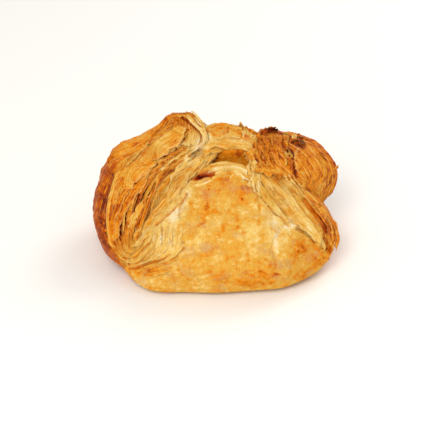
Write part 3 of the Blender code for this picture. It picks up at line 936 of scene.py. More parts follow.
# %% A cut fold
def cut_fold(fold, rows, columns, sheet_bake, face_bake, marks=(), lines=(), sheet_marks=(), dents=()):
    """A fold with stepped and cracked cut faces: its sheet with the relief of a crust, and its bake by
    part. Marks on the sheet stop where it turns away behind the pastry."""
    grid, place, part, across = fold_skin(fold, rows, *columns)
    sheet = part == OUTER
    ends = np.minimum(1, 12 * place) * np.minimum(1, 12 * (1 - place))
    height, blisters, flakes = crust_relief(grid)
    height = height * sheet * ends
    deep, dark = cracks(grid, lines)
    front = part == NEAR
    height = height - deep * front * ends - marked(grid, dents)
    # Painted light: a pale painted highlight along each leaf's torn edge (rim), and painted shade where a
    # leaf sinks under the next (between) and in cracks (dark), through the gap field.
    torn = np.exp(-((across / 0.16) ** 2)) * ~sheet
    between = np.exp(-(((1 - across) / 0.22) ** 2)) * ~sheet * np.minimum(1, 6 * place)
    bake = np.where(sheet, sheet_bake + 0.04 * blisters + 0.05 * (flakes - 0.5), face_bake)
    # Painted shade also raises the bake where a leaf sinks under the next and along cracks.
    bake = bake + 0.05 * rough(grid, 0.016, 47) + 0.08 * between
    bake = bake + (marked(grid, marks) + 0.15 * dark) * front
    bake = bake + marked(grid, sheet_marks) * sheet * smoothstep(0.028, 0.040, grid[..., 2])
    gap = np.maximum(0.40 * between, 0.85 * dark * front)
    fields = {"bake": bake, "rim": 0.7 * torn * (1 - dark), "gap": gap, "leaf": 1.0 - sheet}
    grid = tucked(swelled(grid, height))
    return grid, {**{name: repeated(table) for name, table in fields.items()}, "grain": grain_of(grid)}


print("cut folds ready")

# %% The left fold
LEFT_CRACKS = (
    (((120, 238), (122, 226), (127, 214), (131.6, 208), (134, 203), (138.5, 196.5), (145.5, 189),
      (154.5, 183)), 2.0, 0.0028, 0.95),
    (((136, 185), (137, 182.5), (143, 177.5), (150, 171.7)), 1.6, 0.0016, 0.8),
    (((140, 203), (146, 198), (150, 193)), 2.6, 0.0014, 0.75),
    (((133.5, 231), (138, 225), (145, 218), (147.6, 212), (151, 200)), 1.6, 0.0018, 0.8),
    (((154, 207), (159, 200), (165, 190), (171, 179)), 3.2, 0.0022, 0.55),
    (((155, 166), (160, 158), (167, 153), (176, 148), (183, 139), (187, 130)), 1.6, 0.0014, 0.7),
    (((166, 185), (169.5, 180), (172, 174), (177, 169), (187, 163)), 1.3, 0.0008, 0.35),
    (((182, 117), (187.5, 120.5), (193, 126), (197, 130), (201, 134.5), (202, 139), (200, 146)),
      1.3, 0.0013, 0.7),
    (((159, 174), (168, 166), (176, 160)), 1.5, 0.0008, 0.4),
)
LEFT_TONES = (
    (203, 140, 7, 16, 10, -0.42),
    (192, 139, 9, 9, 0, -0.30),
    (196, 155, 9, 6, -40, -0.42),
    (178, 162, 14, 5, -35, -0.20),
    (158, 143, 16, 7, -35, -0.02),
    (115, 230, 5, 20, 0, 0.16),
    (142, 198, 7, 5, -40, 0.20),
    (165, 160, 10, 6, -30, 0.14),
    (134, 165, 14, 10, -40, -0.08),
    (130, 250, 10, 8, 0, -0.10),
    (104, 205, 7, 44, 6, 0.16),
    (188, 163, 18, 6, -35, -0.25),
    (172, 178, 8, 10, -30, -0.12),
)
left_grid = cut_fold("left_fold", 320, (160, 90, 40), 0.74, 0.58, LEFT_TONES, LEFT_CRACKS, sheet_marks=(
    (122, 148, 16, 6, -30, -0.14),
    (103, 200, 7, 34, 8, 0.06),
    (145, 132, 30, 10, -35, -0.22),
), dents=((150, 130, 28, 8, -35, 0.0014), (108, 155, 12, 8, -40, 0.0008)))
make_piece("left_fold_body", [left_grid], CUT_LEAVES)

# %% The bundle beside the hollow
bundle_grid = cut_fold("left_leaves", 200, (100, 30, 20), 0.5, 0.44, (
    (150, 224, 7, 5, -40, -0.16),
    (178, 188, 8, 10, 20, -0.04),
), (
    (((156, 223.5), (164, 216.5), (173, 206), (180.5, 200), (186, 190)), 1.4, 0.0014, 0.8),
    (((193, 164), (200, 157), (207, 151.5)), 1.3, 0.0012, 0.6),
))
make_piece("left_bundle_body", [bundle_grid], CUT_LEAVES)

# %% The right fold and its lip
right_grid = cut_fold("right_fold", 250, (140, 70, 40), 0.58, 0.32, (
    (318, 220, 8, 22, -35, 0.28),
    (333, 236, 7, 24, -20, 0.28),
    (274, 178, 14, 6, 0, 0.14),
    (287, 178, 8, 10, 0, -0.16),
    (300, 214, 10, 16, -35, 0.04),
), (
    (((304, 200), (312.5, 210.3), (319, 218.5), (323.5, 225.5), (325, 232)), 1.8, 0.0014, 0.6),
    (((325, 239), (328.5, 248)), 1.8, 0.0014, 0.6),
    (((291, 188), (297, 196), (303, 206), (310, 216)), 1.0, 0.0006, 0.25),
))
make_piece("right_fold_body", [right_grid], CUT_LEAVES)

# %% The browned corner
browned_grid = cut_fold("browned_fold", 320, (170, 60, 30), 0.66, 0.60, (
    (268, 130, 9, 4, -12, 0.24),
    (298, 142, 7, 3, 25, 0.20),
    (290, 152.5, 4, 5.5, -35, 0.30),
    (258, 161, 5, 3, 20, 0.24),
    (295.5, 171, 2.4, 6, -10, 0.22),
    (270, 150, 16, 16, 0, 0.06),
    (330, 172, 8, 18, 0, 0.04),
    (283, 174, 12, 4, 0, -0.06),
), (
    (((291, 150), (293.5, 157), (294.5, 164.5), (295.5, 171), (297, 176)), 1.3, 0.0014, 0.6),
    (((286, 148), (290, 153), (293, 157)), 2.6, 0.0016, 0.7),
    (((291, 139), (297, 142), (303, 146)), 2.4, 0.0014, 0.6),
    (((283.5, 137), (284, 144), (287, 150)), 1.6, 0.0012, 0.6),
), dents=((304, 134, 22, 7, 22, 0.0013), (330, 195, 6, 10, 20, 0.0012), (283, 130, 5, 5, 0, 0.0010)))
make_piece("browned_fold_body", [browned_grid], BROWNED_CRUST)

# %% The back fold
# Painted shade: the near-face marks and the sheet marks at (236, 158) and (246, 140) brown the back fold
# where it lies in the hollow's shade and beside the browned corner.
back_grid = cut_fold("back_fold", 220, (50, 170, 40), 0.36, 0.56, (
    (228, 160, 22, 8, 0, 0.10),
    (232, 162, 5, 2.5, 0, 0.25),
), sheet_marks=(
    (216, 131, 9, 5, 15, 0.16),
    (236, 158, 20, 9, 0, 0.30),
    (228, 146, 14, 4, 0, -0.08),
    (246, 140, 6, 12, 0, 0.24),
))
make_piece("back_crust", [back_grid], SMOOTH_CRUST)

# %% [markdown]
# ## The dough under the folds
#
# Under the folds lies the middle of the square, a plump bun on a wider sole. Both are spheres reshaped:
# the plan is a superellipse, and the underside is pressed flat by the tray.

# %% Bun and sole
# Half width, half depth, underside, belly and top.
BUN = (0.0440, 0.0290, 0.0040, 0.0130, 0.0330)
SOLE = (0.0540, 0.0425, 0.0000, 0.0090, 0.0200)
MOUND_SQUARENESS = 2.4
UNDERSIDE_SINK = 1.6


def mound(size, bake):
    """A rounded square mound: plan |x/a|^n + |y/b|^n = 1 swelling as (sine of the polar angle)^0.6,
    the lower half pressed flat at the underside."""
    half_width, half_depth, underside, belly, top = size
    polar = np.linspace(np.pi - 0.03, 0.03, 60)[:, None]
    turn = np.linspace(0, 2 * np.pi, 160, endpoint=False)[None]
    reach = (
        np.abs(np.cos(turn) / half_width) ** MOUND_SQUARENESS
        + np.abs(np.sin(turn) / half_depth) ** MOUND_SQUARENESS
    ) ** (-1 / MOUND_SQUARENESS)
    out = reach * np.sin(polar) ** 0.6
    level = np.cos(polar)
    low = np.maximum(underside, belly + (belly - underside) * UNDERSIDE_SINK * level)
    height = np.where(level < 0, low, belly + (top - belly) * level) + 0 * turn
    grid = np.stack([out * np.cos(turn), out * np.sin(turn), height], axis=-1)
    grid = swelled(grid, 0.0004 * rough(grid, 0.012, 51) * (height > underside + 0.001))
    grid[..., 2] = np.maximum(grid[..., 2], underside)
    grid = settled(grid)
    tone = bake + 0.10 * rough(grid, 0.015, 53) + 0.12 * smoothstep(0.006, 0.0, grid[..., 2])
    return skin(grid, bake=tone, grain=grid)


make_piece("underside_dough", [mound(BUN, 0.62), mound(SOLE, 0.55)], SMOOTH_CRUST)

# %% [markdown]
# ## Torn leaves
#
# A leaf of puff pastry is a sheet under half a millimetre thick. Its root is held between its neighbours
# and its torn edge stands free, nicked and curled. Each one here is a strip: w runs from the root to the
# torn edge, and it rises from just below the face to about a millimetre above it, so that a dark gap opens
# under it. The torn edge is painted pale as a highlight, and painted shade darkens its root and its lower
# side.

# %% One leaf
LEAF_THICKNESS = 0.00038


def torn_reach(along, ragged, seed):
    """How far a torn edge reaches: 1 plus soft waves 5 mm long, less nicks 1.3 mm long."""
    line = np.stack([along, np.zeros(along.shape), np.zeros(along.shape)], axis=-1)
    nicks = np.abs(unevenness(line, 0.0013, seed)) ** 1.5
    return 1 + ragged * (rough(line, 0.005, seed + 1) - 0.8 * nicks)


def torn_sheet(
    laid, facing, stand, sink=0.0008, thick=LEAF_THICKNESS, wave=0.0005, curl=0.0, bake=0.45, seed=0,
    rim=0.8, shade=0.4, streaked=1.0,
):
    """A closed thin sheet over laid (along, across, 3): raised along facing by -sink + (sink + stand) w^0.6
    + curl w^3 + wave * unevenness * w, with a lower side a thickness under it."""
    rows, columns = laid.shape[:2]
    w = np.linspace(0, 1, columns)[None]
    u = np.linspace(0, 1, rows)[:, None]
    ends = smoothstep(0, 0.10, u) * smoothstep(0, 0.10, 1 - u)
    lift = -sink + (sink + stand) * ends * w**0.6 + curl * ends * w**3
    lift = lift + wave * rough(laid, 0.006, seed) * w
    thickness = thick * (1 - 0.45 * w**3)
    top = laid + facing * lift[..., None]
    under = laid + facing * (lift - thickness)[..., None]
    grid = np.concatenate([top, under[:, ::-1]], axis=1)
    along = np.cumsum(np.linalg.norm(np.diff(laid, axis=0, prepend=laid[:1]), axis=-1), axis=0)
    across = np.cumsum(np.linalg.norm(np.diff(laid, axis=1, prepend=laid[:, :1]), axis=-1), axis=1)
    grain = np.stack([along + seed * 0.37, across + seed * 0.11, np.zeros(along.shape)], axis=-1)
    tone = bake + 0.09 * rough(laid, 0.008, seed + 5) + 0.05 * w
    # Painted light: a pale painted highlight along the torn edge (rim), painted shade at the root (shade) and
    # over the whole lower side (gap 0.5). The lower side is also baked 0.12 more.
    edge = np.broadcast_to(rim * np.exp(-(((1 - w) / 0.12) ** 2)), tone.shape)
    deep = np.broadcast_to(shade * np.exp(-((w / 0.16) ** 2)), tone.shape)
    fields = {
        "bake": np.concatenate([tone, tone[:, ::-1] + 0.12], axis=1),
        "rim": np.concatenate([edge, 0.6 * edge[:, ::-1]], axis=1),
        "gap": np.concatenate([deep, 0.5 + 0 * deep], axis=1),
        "leaf": np.full((rows, 2 * columns), streaked),
        "grain": np.concatenate([grain, grain[:, ::-1]], axis=1),
    }
    return grid, fields


def face_leaf(fold, side, span, roots, tips, stand, seed, ragged=0.2, rows=110, columns=7, **finish):
    """A leaf on a cut face, along its places from span[0] to span[1], whose root and torn edge follow
    curves through the given shares."""
    u = np.linspace(0, 1, rows)
    places = span[0] + (span[1] - span[0]) * u
    root = curve_at(np.array(roots, float)[:, None], u)
    tip = curve_at(np.array(tips, float)[:, None], u)
    ends = 0.12 + 0.88 * smoothstep(0, 0.14, u) * smoothstep(0, 0.14, 1 - u)
    reach = torn_reach(u * 0.06 * (span[1] - span[0]), ragged, seed) * ends
    share = root + (tip - root) * np.linspace(0, 1, columns)[None] * reach[:, None]
    spread = np.broadcast_to(places[:, None], share.shape)
    laid, facing, _ = face_point(fold, side, spread, share, fine=False)
    return torn_sheet(laid, facing, stand, seed=seed, **finish)


print("a leaf is", 1000 * LEAF_THICKNESS, "mm thick")

# %% [markdown]
# ## Leaves laid on what shows
#
# The eye follows some ninety leaf edges across the folds, and they must lie where the pastry has them. So
# the front of the finished skins is measured once, as a depth for each point of the front view. A leaf is
# then drawn there by its torn edge and its width, and laid on that surface.

# %% The front's depth
NOTHING_SEEN = 9.0
LAID_STAND = 0.65


def soften(table, times):
    """Each value replaced by the mean of itself and its four neighbours, a number of times."""
    for _ in range(times):
        table = (table + sum(np.roll(table, step, axis) for step in (-1, 1) for axis in (0, 1))) / 5
    return table


def nearest_of(table, pick):
    """Each value replaced by the least or the greatest (as pick says) of itself and its eight neighbours."""
    for axis in (0, 1):
        table = pick(table, pick(np.roll(table, 1, axis), np.roll(table, -1, axis)))
    return table


def facing_eye(grid):
    """Whether each point of a closed grid lies on the side turned to the eye."""
    normal = np.cross(np.gradient(grid, axis=0), np.roll(grid, -1, axis=1) - np.roll(grid, 1, axis=1))
    outwards = np.sign(np.einsum("ijk,ijk->", normal, grid - grid.mean(axis=(0, 1))))
    return outwards * np.einsum("ijk,ijk->ij", normal, EYE - grid) > 0


def depth_of(grids):
    """The least distance from the eye at each point of the front view. Single points where the far side
    showed between two near ones are closed first, then gaps are filled from around."""
    depth = np.full((VIEW_POINTS, VIEW_POINTS), NOTHING_SEEN)
    for grid in grids:
        view, far = seen_at(grid[facing_eye(grid)])
        cell = np.clip(view.astype(int), 0, VIEW_POINTS - 1)
        np.minimum.at(depth, (cell[:, 1], cell[:, 0]), far)
    depth = nearest_of(nearest_of(depth, np.minimum), np.maximum)
    known = depth < NOTHING_SEEN
    depth = np.where(known, depth, 0)
    close = soften(depth, 2) / np.maximum(soften(known.astype(float), 2), 1e-6)
    wide = soften(depth, 60) / np.maximum(soften(known.astype(float), 60), 1e-6)
    sure = soften(known.astype(float), 2) > 0.5
    return soften(np.where(sure, close, np.where(wide > 0.1, wide, VIEW_DISTANCE)), 1)


FRONT_SKINS = (front_grid, left_grid, bundle_grid, right_grid, browned_grid, back_grid)
FRONT_DEPTH = depth_of([grid for grid, fields in FRONT_SKINS])
print("front depth from", FRONT_DEPTH.min().round(3), "to", FRONT_DEPTH.max().round(3))


# %% A leaf laid on the front
def laid_on_front(view, reach):
    """The surface point that shows at each place in the front view (along, across, 2): the four nearest
    depths, blended. Each row stays within a reach of its root's depth, so that no leaf drops over a rim."""
    place = np.clip(view - 0.5, 0, VIEW_POINTS - 2.001)
    cell = place.astype(int)
    part = place - cell
    depth = np.zeros(view.shape[:-1])
    for dx, dy in ((0, 0), (1, 0), (0, 1), (1, 1)):
        weight = (part[..., 0] if dx else 1 - part[..., 0]) * (part[..., 1] if dy else 1 - part[..., 1])
        depth += weight * FRONT_DEPTH[cell[..., 1] + dy, cell[..., 0] + dx]
    depth = np.clip(depth, depth[:, :1] - reach, depth[:, :1] + reach)
    for _ in range(3):
        padded = np.concatenate([depth[:1], depth, depth[-1:]])
        depth = (padded[:-2] + padded[1:-1] + padded[2:]) / 3
    return placed_at(view, depth)


def laid_leaf(edge, width, stand=0.0010, seed=0, ragged=0.2, rows=110, columns=8, **finish):
    """A leaf whose torn edge runs along the edge curve in the front view. Its root lies width view points
    to the left of the way the curve runs (to the right where width is below 0)."""
    u = np.linspace(0, 1, rows)
    line = curve_through(edge, u)
    run = np.gradient(line, axis=0)
    side = np.stack([run[:, 1], -run[:, 0]], axis=-1)
    side /= np.maximum(np.linalg.norm(side, axis=-1, keepdims=True), 1e-9)
    track = np.stack([u * 0.05, 0 * u, 0 * u + seed], axis=-1)
    line = line + side * 0.9 * rough(track, 0.006, seed + 3)[:, None]
    widths = curve_at(np.array(width, float)[:, None], u) if np.ndim(width) else np.full((rows, 1), width)
    ends = 0.15 + 0.85 * smoothstep(0, 0.14, u) * smoothstep(0, 0.14, 1 - u)
    root = line + side * widths
    reach = (torn_reach(u * 0.05, ragged, seed) * ends)[:, None, None]
    view = root[:, None] + (line - root)[:, None] * np.linspace(0, 1, columns)[None, :, None] * reach
    laid = laid_on_front(view, 0.0008 + 0.6 * np.abs(widths).max() * VIEW_WIDTH / VIEW_POINTS)
    normal = unit(np.cross(np.gradient(laid, axis=0), np.gradient(laid, axis=1)))
    toward = unit(EYE - laid)
    normal *= np.sign(np.einsum("ijk,ijk->ij", normal, toward))[..., None]
    facing = unit(0.6 * unit(normal.mean(axis=1, keepdims=True)) + 0.4 * toward)
    return torn_sheet(laid, facing, LAID_STAND * stand, seed=seed, **finish)


print("the front view is", VIEW_POINTS, "points wide")

# %% [markdown]
# ## The left fold's sheets
#
# The tall left fold has burst open like a book. Broad sheets lie over its outer half, with their torn
# edges towards the middle. From the middle side thinner ones lean back against them, and a deep red crack
# runs between, its darkness painted shade. At the foot all of them turn round the pinch in narrow arcs.
# They make two pieces, so that neither is too heavy.

# %% Sheets of the left fold
# Each leaf: its torn edge in view points, the width or widths to its root, how far it stands up in metres,
# its seed, how ragged it is, the rows and columns of its grid, and then its finish.
BROAD_COUNT = 20
left_leaves = [
    laid_leaf(
        ((114, 250), (110.4, 245), (107.5, 238), (105.8, 225), (106.4, 212.5), (108.7, 201), (110.4, 192),
         (112.7, 184), (114.4, 175), (116, 166)),
        (2, 8, 11, 11, 8), 0.0008, 31, 0.05, 160, 10, bake=0.75, rim=0.1, shade=0.0, wave=0.0003,
    ),
    laid_leaf(
        ((114.8, 252), (111, 246), (108, 239), (107, 223), (107.5, 204), (110.5, 192), (114.5, 175),
         (119, 165)),
        -5, 0.0009, 1, 0.1, 150, bake=0.42,
    ),
    laid_leaf(
        ((120, 244), (120.5, 232), (124, 219), (131.5, 203), (143, 189), (154, 182)),
        (8, 14, 15, 12), 0.0014, 2, 0.12, 150, 14, bake=0.57,
    ),
    laid_leaf(
        ((116, 246), (115.5, 228), (119, 212), (125, 199), (133, 187)),
        (6, 8, 9), 0.0010, 6, 0.15, 120, 10, bake=0.64,
    ),
    laid_leaf(
        ((126, 197), (135, 186), (142, 178), (150, 171.5), (155, 165), (167, 154)),
        (12, 24, 22, 12), 0.0015, 3, 0.12, 150, 18, bake=0.50,
    ),
    laid_leaf(
        ((121, 174), (126, 163), (134, 155.5), (144.5, 149), (153, 143)),
        (5, 6, 5), 0.0012, 4, 0.15, bake=0.50,
    ),
    laid_leaf(
        ((127, 170), (131.5, 163), (136, 158), (145.5, 149), (151, 146)),
        (4, 5, 4), 0.0010, 5, 0.15, bake=0.46,
    ),
    laid_leaf(
        ((154.5, 167), (159, 160.5), (167, 154.5), (175, 148.5), (182, 140), (185, 135), (187, 129.5),
         (184, 120)),
        (8, 24, 26, 18, 10), 0.0020, 7, 0.10, 160, 20, bake=0.46,
    ),
    laid_leaf(((149, 147), (153, 142), (159, 138), (166, 134)), (5, 6, 5), 0.0012, 8, 0.15, bake=0.56),
    laid_leaf(((160, 133), (168, 131), (172, 128), (174, 124)), (5, 7, 5), 0.0012, 9, 0.2, bake=0.55),
    laid_leaf(
        ((132, 216), (135, 210), (140, 204), (145.5, 198), (151, 194), (154, 189), (155.5, 182), (157, 175),
         (163, 168)),
        -8, 0.0013, 10, 0.15, 150, 10, bake=0.44,
    ),
    laid_leaf(
        ((129, 238), (135, 233), (143, 225), (148, 219), (150, 208), (152, 202), (156, 192), (160, 185),
         (165, 177)),
        -7, 0.0014, 11, 0.15, 150, 10, bake=0.40,
    ),
    laid_leaf(((127.5, 229), (129.5, 222), (135, 207)), -9, 0.0010, 12, 0.2, bake=0.44),
    laid_leaf(
        ((137, 239), (142.5, 226), (151, 215.5), (157, 207), (164.5, 200), (168.5, 192), (172.5, 184),
         (174, 175)),
        -6, 0.0014, 13, 0.15, 150, bake=0.38,
    ),
    laid_leaf(
        ((137, 251), (140, 246), (147, 237), (153.5, 229.5), (163, 219), (173, 207.5), (180, 200),
         (186, 190)),
        8, 0.0014, 14, 0.15, 150, 10, bake=0.28,
    ),
    laid_leaf(
        ((140, 242), (146, 234), (153, 226), (161, 216), (169, 206), (177, 196)),
        5, 0.0010, 15, 0.2, 130, bake=0.32,
    ),
    laid_leaf(
        ((161, 196), (166, 190), (170, 182), (176, 174), (184, 168), (190, 163)),
        -6, 0.0012, 16, 0.2, 130, bake=0.34,
    ),
    laid_leaf(
        ((164, 206), (171, 198), (177, 190), (183, 181), (188, 174)),
        -5, 0.0012, 17, 0.2, 130, bake=0.30,
    ),
    laid_leaf(
        ((172, 181), (173.5, 172), (178, 165), (187.5, 158.5), (197, 152), (201, 145), (202, 138.5),
         (201, 134), (197, 129.5), (187.5, 120), (182, 115)),
        -5, 0.0016, 18, 0.08, 190, bake=0.17, shade=0.10, rim=0.5,
    ),
    laid_leaf(
        ((166, 186), (169.5, 180), (172.5, 174), (185, 164.5), (193, 160), (203, 149.5), (206, 142.5),
         (206, 137), (203, 130.5), (196, 123), (187.5, 115)),
        -4.5, 0.0018, 19, 0.08, 190, bake=0.14, shade=0.10, rim=0.5,
    ),
    laid_leaf(
        ((178, 172), (188, 165), (196, 160), (204, 151.5), (208.5, 143), (208.5, 136), (205, 129),
         (198, 121.5), (190, 113.5)),
        -4, 0.0015, 20, 0.10, 170, bake=0.20, shade=0.10, rim=0.5,
    ),
    laid_leaf(((177, 143), (184, 146), (192, 146), (199, 142)), 6, 0.0007, 21, 0.3, bake=0.22),
    laid_leaf(((159, 174), (166, 168), (176, 160), (186, 154), (194, 149)), 5, 0.0009, 22, 0.25, bake=0.30),
    laid_leaf(((162, 163), (170, 158), (178, 153), (186, 148)), 4, 0.0008, 23, 0.25, bake=0.52),
    laid_leaf(((157, 166), (160, 161), (166, 161), (168, 165), (163, 168)), -3, 0.0009, 24, 0.15, bake=0.36),
    laid_leaf(((176, 118), (184, 117), (191, 121), (197, 127)), 3, 0.0010, 25, 0.2, bake=0.40),
    laid_leaf(((162, 121), (168, 116), (176, 113.5), (185, 112.5)), -4, 0.0008, 26, 0.25, bake=0.66),
    laid_leaf(((106, 166), (109, 157.5), (114, 152), (121, 148), (130, 144)), -4, 0.0004, 27, 0.2, bake=0.60),
    laid_leaf(
        ((106, 172), (110, 162), (118, 158), (126, 153), (136, 147), (146, 141)),
        -5, 0.0009, 28, 0.2, bake=0.56,
    ),
]
print("sheets of the left fold:", len(left_leaves))

# %% Thin steps and scraps between them
# Nine thin steps run along the near face, and sixteen short scraps lie across its upper half.
rng = np.random.default_rng(5)
for number in range(9):
    root = 0.84 - 0.09 * number + rng.uniform(-0.03, 0.03)
    width = rng.uniform(0.06, 0.13)
    start, end = rng.uniform(0.02, 0.20), rng.uniform(0.30, 0.62)
    left_leaves.append(face_leaf(
        "left_fold", "near", (start, end), (root, root, root), (root - width, root - width, root - width),
        rng.uniform(0.0004, 0.0008), 320 + number, ragged=0.25, bake=rng.uniform(0.50, 0.66),
    ))
for number in range(16):
    share = rng.uniform(0, 1)
    right, down = 140 + 44 * share + rng.uniform(-5, 5), 176 - 42 * share + rng.uniform(-8, 8)
    left_leaves.append(laid_leaf(
        ((right, down), (right + 7, down - 5), (right + 13 + rng.uniform(0, 4), down - 9)),
        rng.choice([-2.5, 2.0, 3.0]), 0.0006, 350 + number, 0.35, 60, 6,
        bake=rng.choice([0.34, 0.52, 0.68]), sink=0.0001, shade=0.3,
    ))
make_piece("left_broad_leaves", left_leaves[:BROAD_COUNT], CUT_LEAVES)
make_piece("left_fold_leaves", left_leaves[BROAD_COUNT:], CUT_LEAVES)

# %% Arcs round the pinch
# Nine arcs are traced, each with its bake. Six short ripples run down beside them.
pinch_leaves = []
for number, (edge, tone) in enumerate((
    (((123, 240), (124, 248), (128, 253), (134, 253), (140, 247), (146, 240), (152, 234)), 0.34),
    (((119, 246), (122, 253), (128, 258), (135, 258), (142, 252), (149, 245), (155, 236)), 0.46),
    (((115, 252), (120, 258), (128, 262.5), (136, 262.5), (145, 257), (153, 249), (158, 240), (160, 230)),
      0.36),
    (((120, 262), (128, 266), (136, 265.5), (145, 261), (153, 254), (158, 247)), 0.42),
    (((130, 268), (138, 266.5), (148, 262), (158, 257.5), (167, 250), (171, 241), (171, 230)), 0.28),
    (((155, 265), (166, 262), (176, 256), (182, 248), (184.5, 240)), 0.30),
    (((138, 270), (150, 268.5), (162, 266), (173, 262), (181, 256)), 0.50),
    (((140, 276), (152, 276.5), (164, 273.5), (174, 269)), 0.50),
    (((121, 258), (126, 262), (130, 267)), 0.62),
)):
    pinch_leaves.append(laid_leaf(
        edge, (2.5, 4.5, 4.0, 2.5), 0.0007, 60 + number, 0.2, 130, 8, bake=tone, shade=0.2,
    ))
for number in range(6):
    right = 155 + 5 * number + rng.uniform(-1.5, 1.5)
    pinch_leaves.append(laid_leaf(
        ((right, 222 + rng.uniform(0, 8)), (right + 1, 232), (right, 242),
         (right - 4, 250 - rng.uniform(0, 8))),
        -2.6, 0.0002, 80 + number, 0.4, 90, 6, bake=0.20, shade=0.0, rim=0.3, sink=0.0004,
    ))
make_piece("pinch_leaves", pinch_leaves, CUT_LEAVES)

# %% Leaves of the bundle beside the hollow
bundle_leaves = [
    laid_leaf(
        ((178, 196), (186, 186), (190, 176), (196, 168), (203, 160), (210, 153), (217, 149), (226, 143)),
        5, 0.0012, 101, 0.2, bake=0.28,
    ),
    laid_leaf(
        ((186, 186), (192, 176), (197, 168), (204, 161), (211, 155), (219, 150), (228, 145)),
        5, 0.0013, 102, 0.2, bake=0.32,
    ),
    laid_leaf(
        ((190, 184), (197, 174), (203, 168), (208, 162), (213, 157), (219, 151), (229, 145)),
        6, 0.0013, 103, 0.15, bake=0.26,
    ),
    laid_leaf(
        ((196, 180), (203, 172), (208, 166), (213, 159), (219, 153), (226, 147)),
        5, 0.0010, 104, 0.2, bake=0.40,
    ),
    laid_leaf(((204, 155), (207, 152), (213, 149), (220, 147)), -3, 0.0009, 105, 0.2, bake=0.56),
    laid_leaf(((170, 206), (177, 197), (183, 187), (187, 178)), 4, 0.0009, 106, 0.2, bake=0.26),
    laid_leaf(((176, 204), (182, 195), (187, 186), (189, 178)), 4, 0.0007, 107, 0.2, bake=0.20),
    laid_leaf(((186, 172), (195, 171), (203, 170.5), (213, 172)), 4, 0.0012, 108, 0.25, bake=0.50),
    laid_leaf(
        ((181, 169), (188, 162.5), (196, 156), (203, 150.5), (208, 144)),
        (5, 8, 8, 5), 0.0014, 109, 0.12, bake=0.18, shade=0.1,
    ),
]
make_piece("left_bundle_leaves", bundle_leaves, CUT_LEAVES)

# %% [markdown]
# ## The hollow
#
# In the middle the four corners of the square leave a small hollow. A sheet of the back fold hangs down
# into it, baked darker than the back fold as painted shade, most where it is deepest, and torn leaves stand
# round its rim. These sheets are given by lines in space, from the root to the torn edge, because what
# they hang over can't be seen from the front.

# %% Sheets round the hollow
def hung_leaf(lines, stand=0.0004, seed=0, ragged=0.15, rows=120, columns=24, towards=(0, -1, 1), **finish):
    """A sheet through lines in space, from its root to its torn edge: straight between neighbouring lines
    at the same share of their lengths, and nicked along the last one."""
    u = np.linspace(0, 1, rows)
    ribs = np.stack([curve_through(line, u) for line in lines], axis=1)
    reach = 1 + 0.35 * (torn_reach(u * 0.03, ragged, seed) - 1)
    place = np.clip(np.linspace(0, 1, columns)[None] * reach[:, None], 0, 1) * (len(lines) - 1)
    rib = np.minimum(place.astype(int), len(lines) - 2)
    part = (place - rib)[..., None]
    row = np.arange(rows)[:, None]
    laid = ribs[row, rib] * (1 - part) + ribs[row, rib + 1] * part
    facing = unit(np.cross(np.gradient(laid, axis=0), np.gradient(laid, axis=1)))
    facing *= np.sign((facing @ np.array(towards, float)).mean())
    return torn_sheet(laid, facing, stand, seed=seed, **finish)


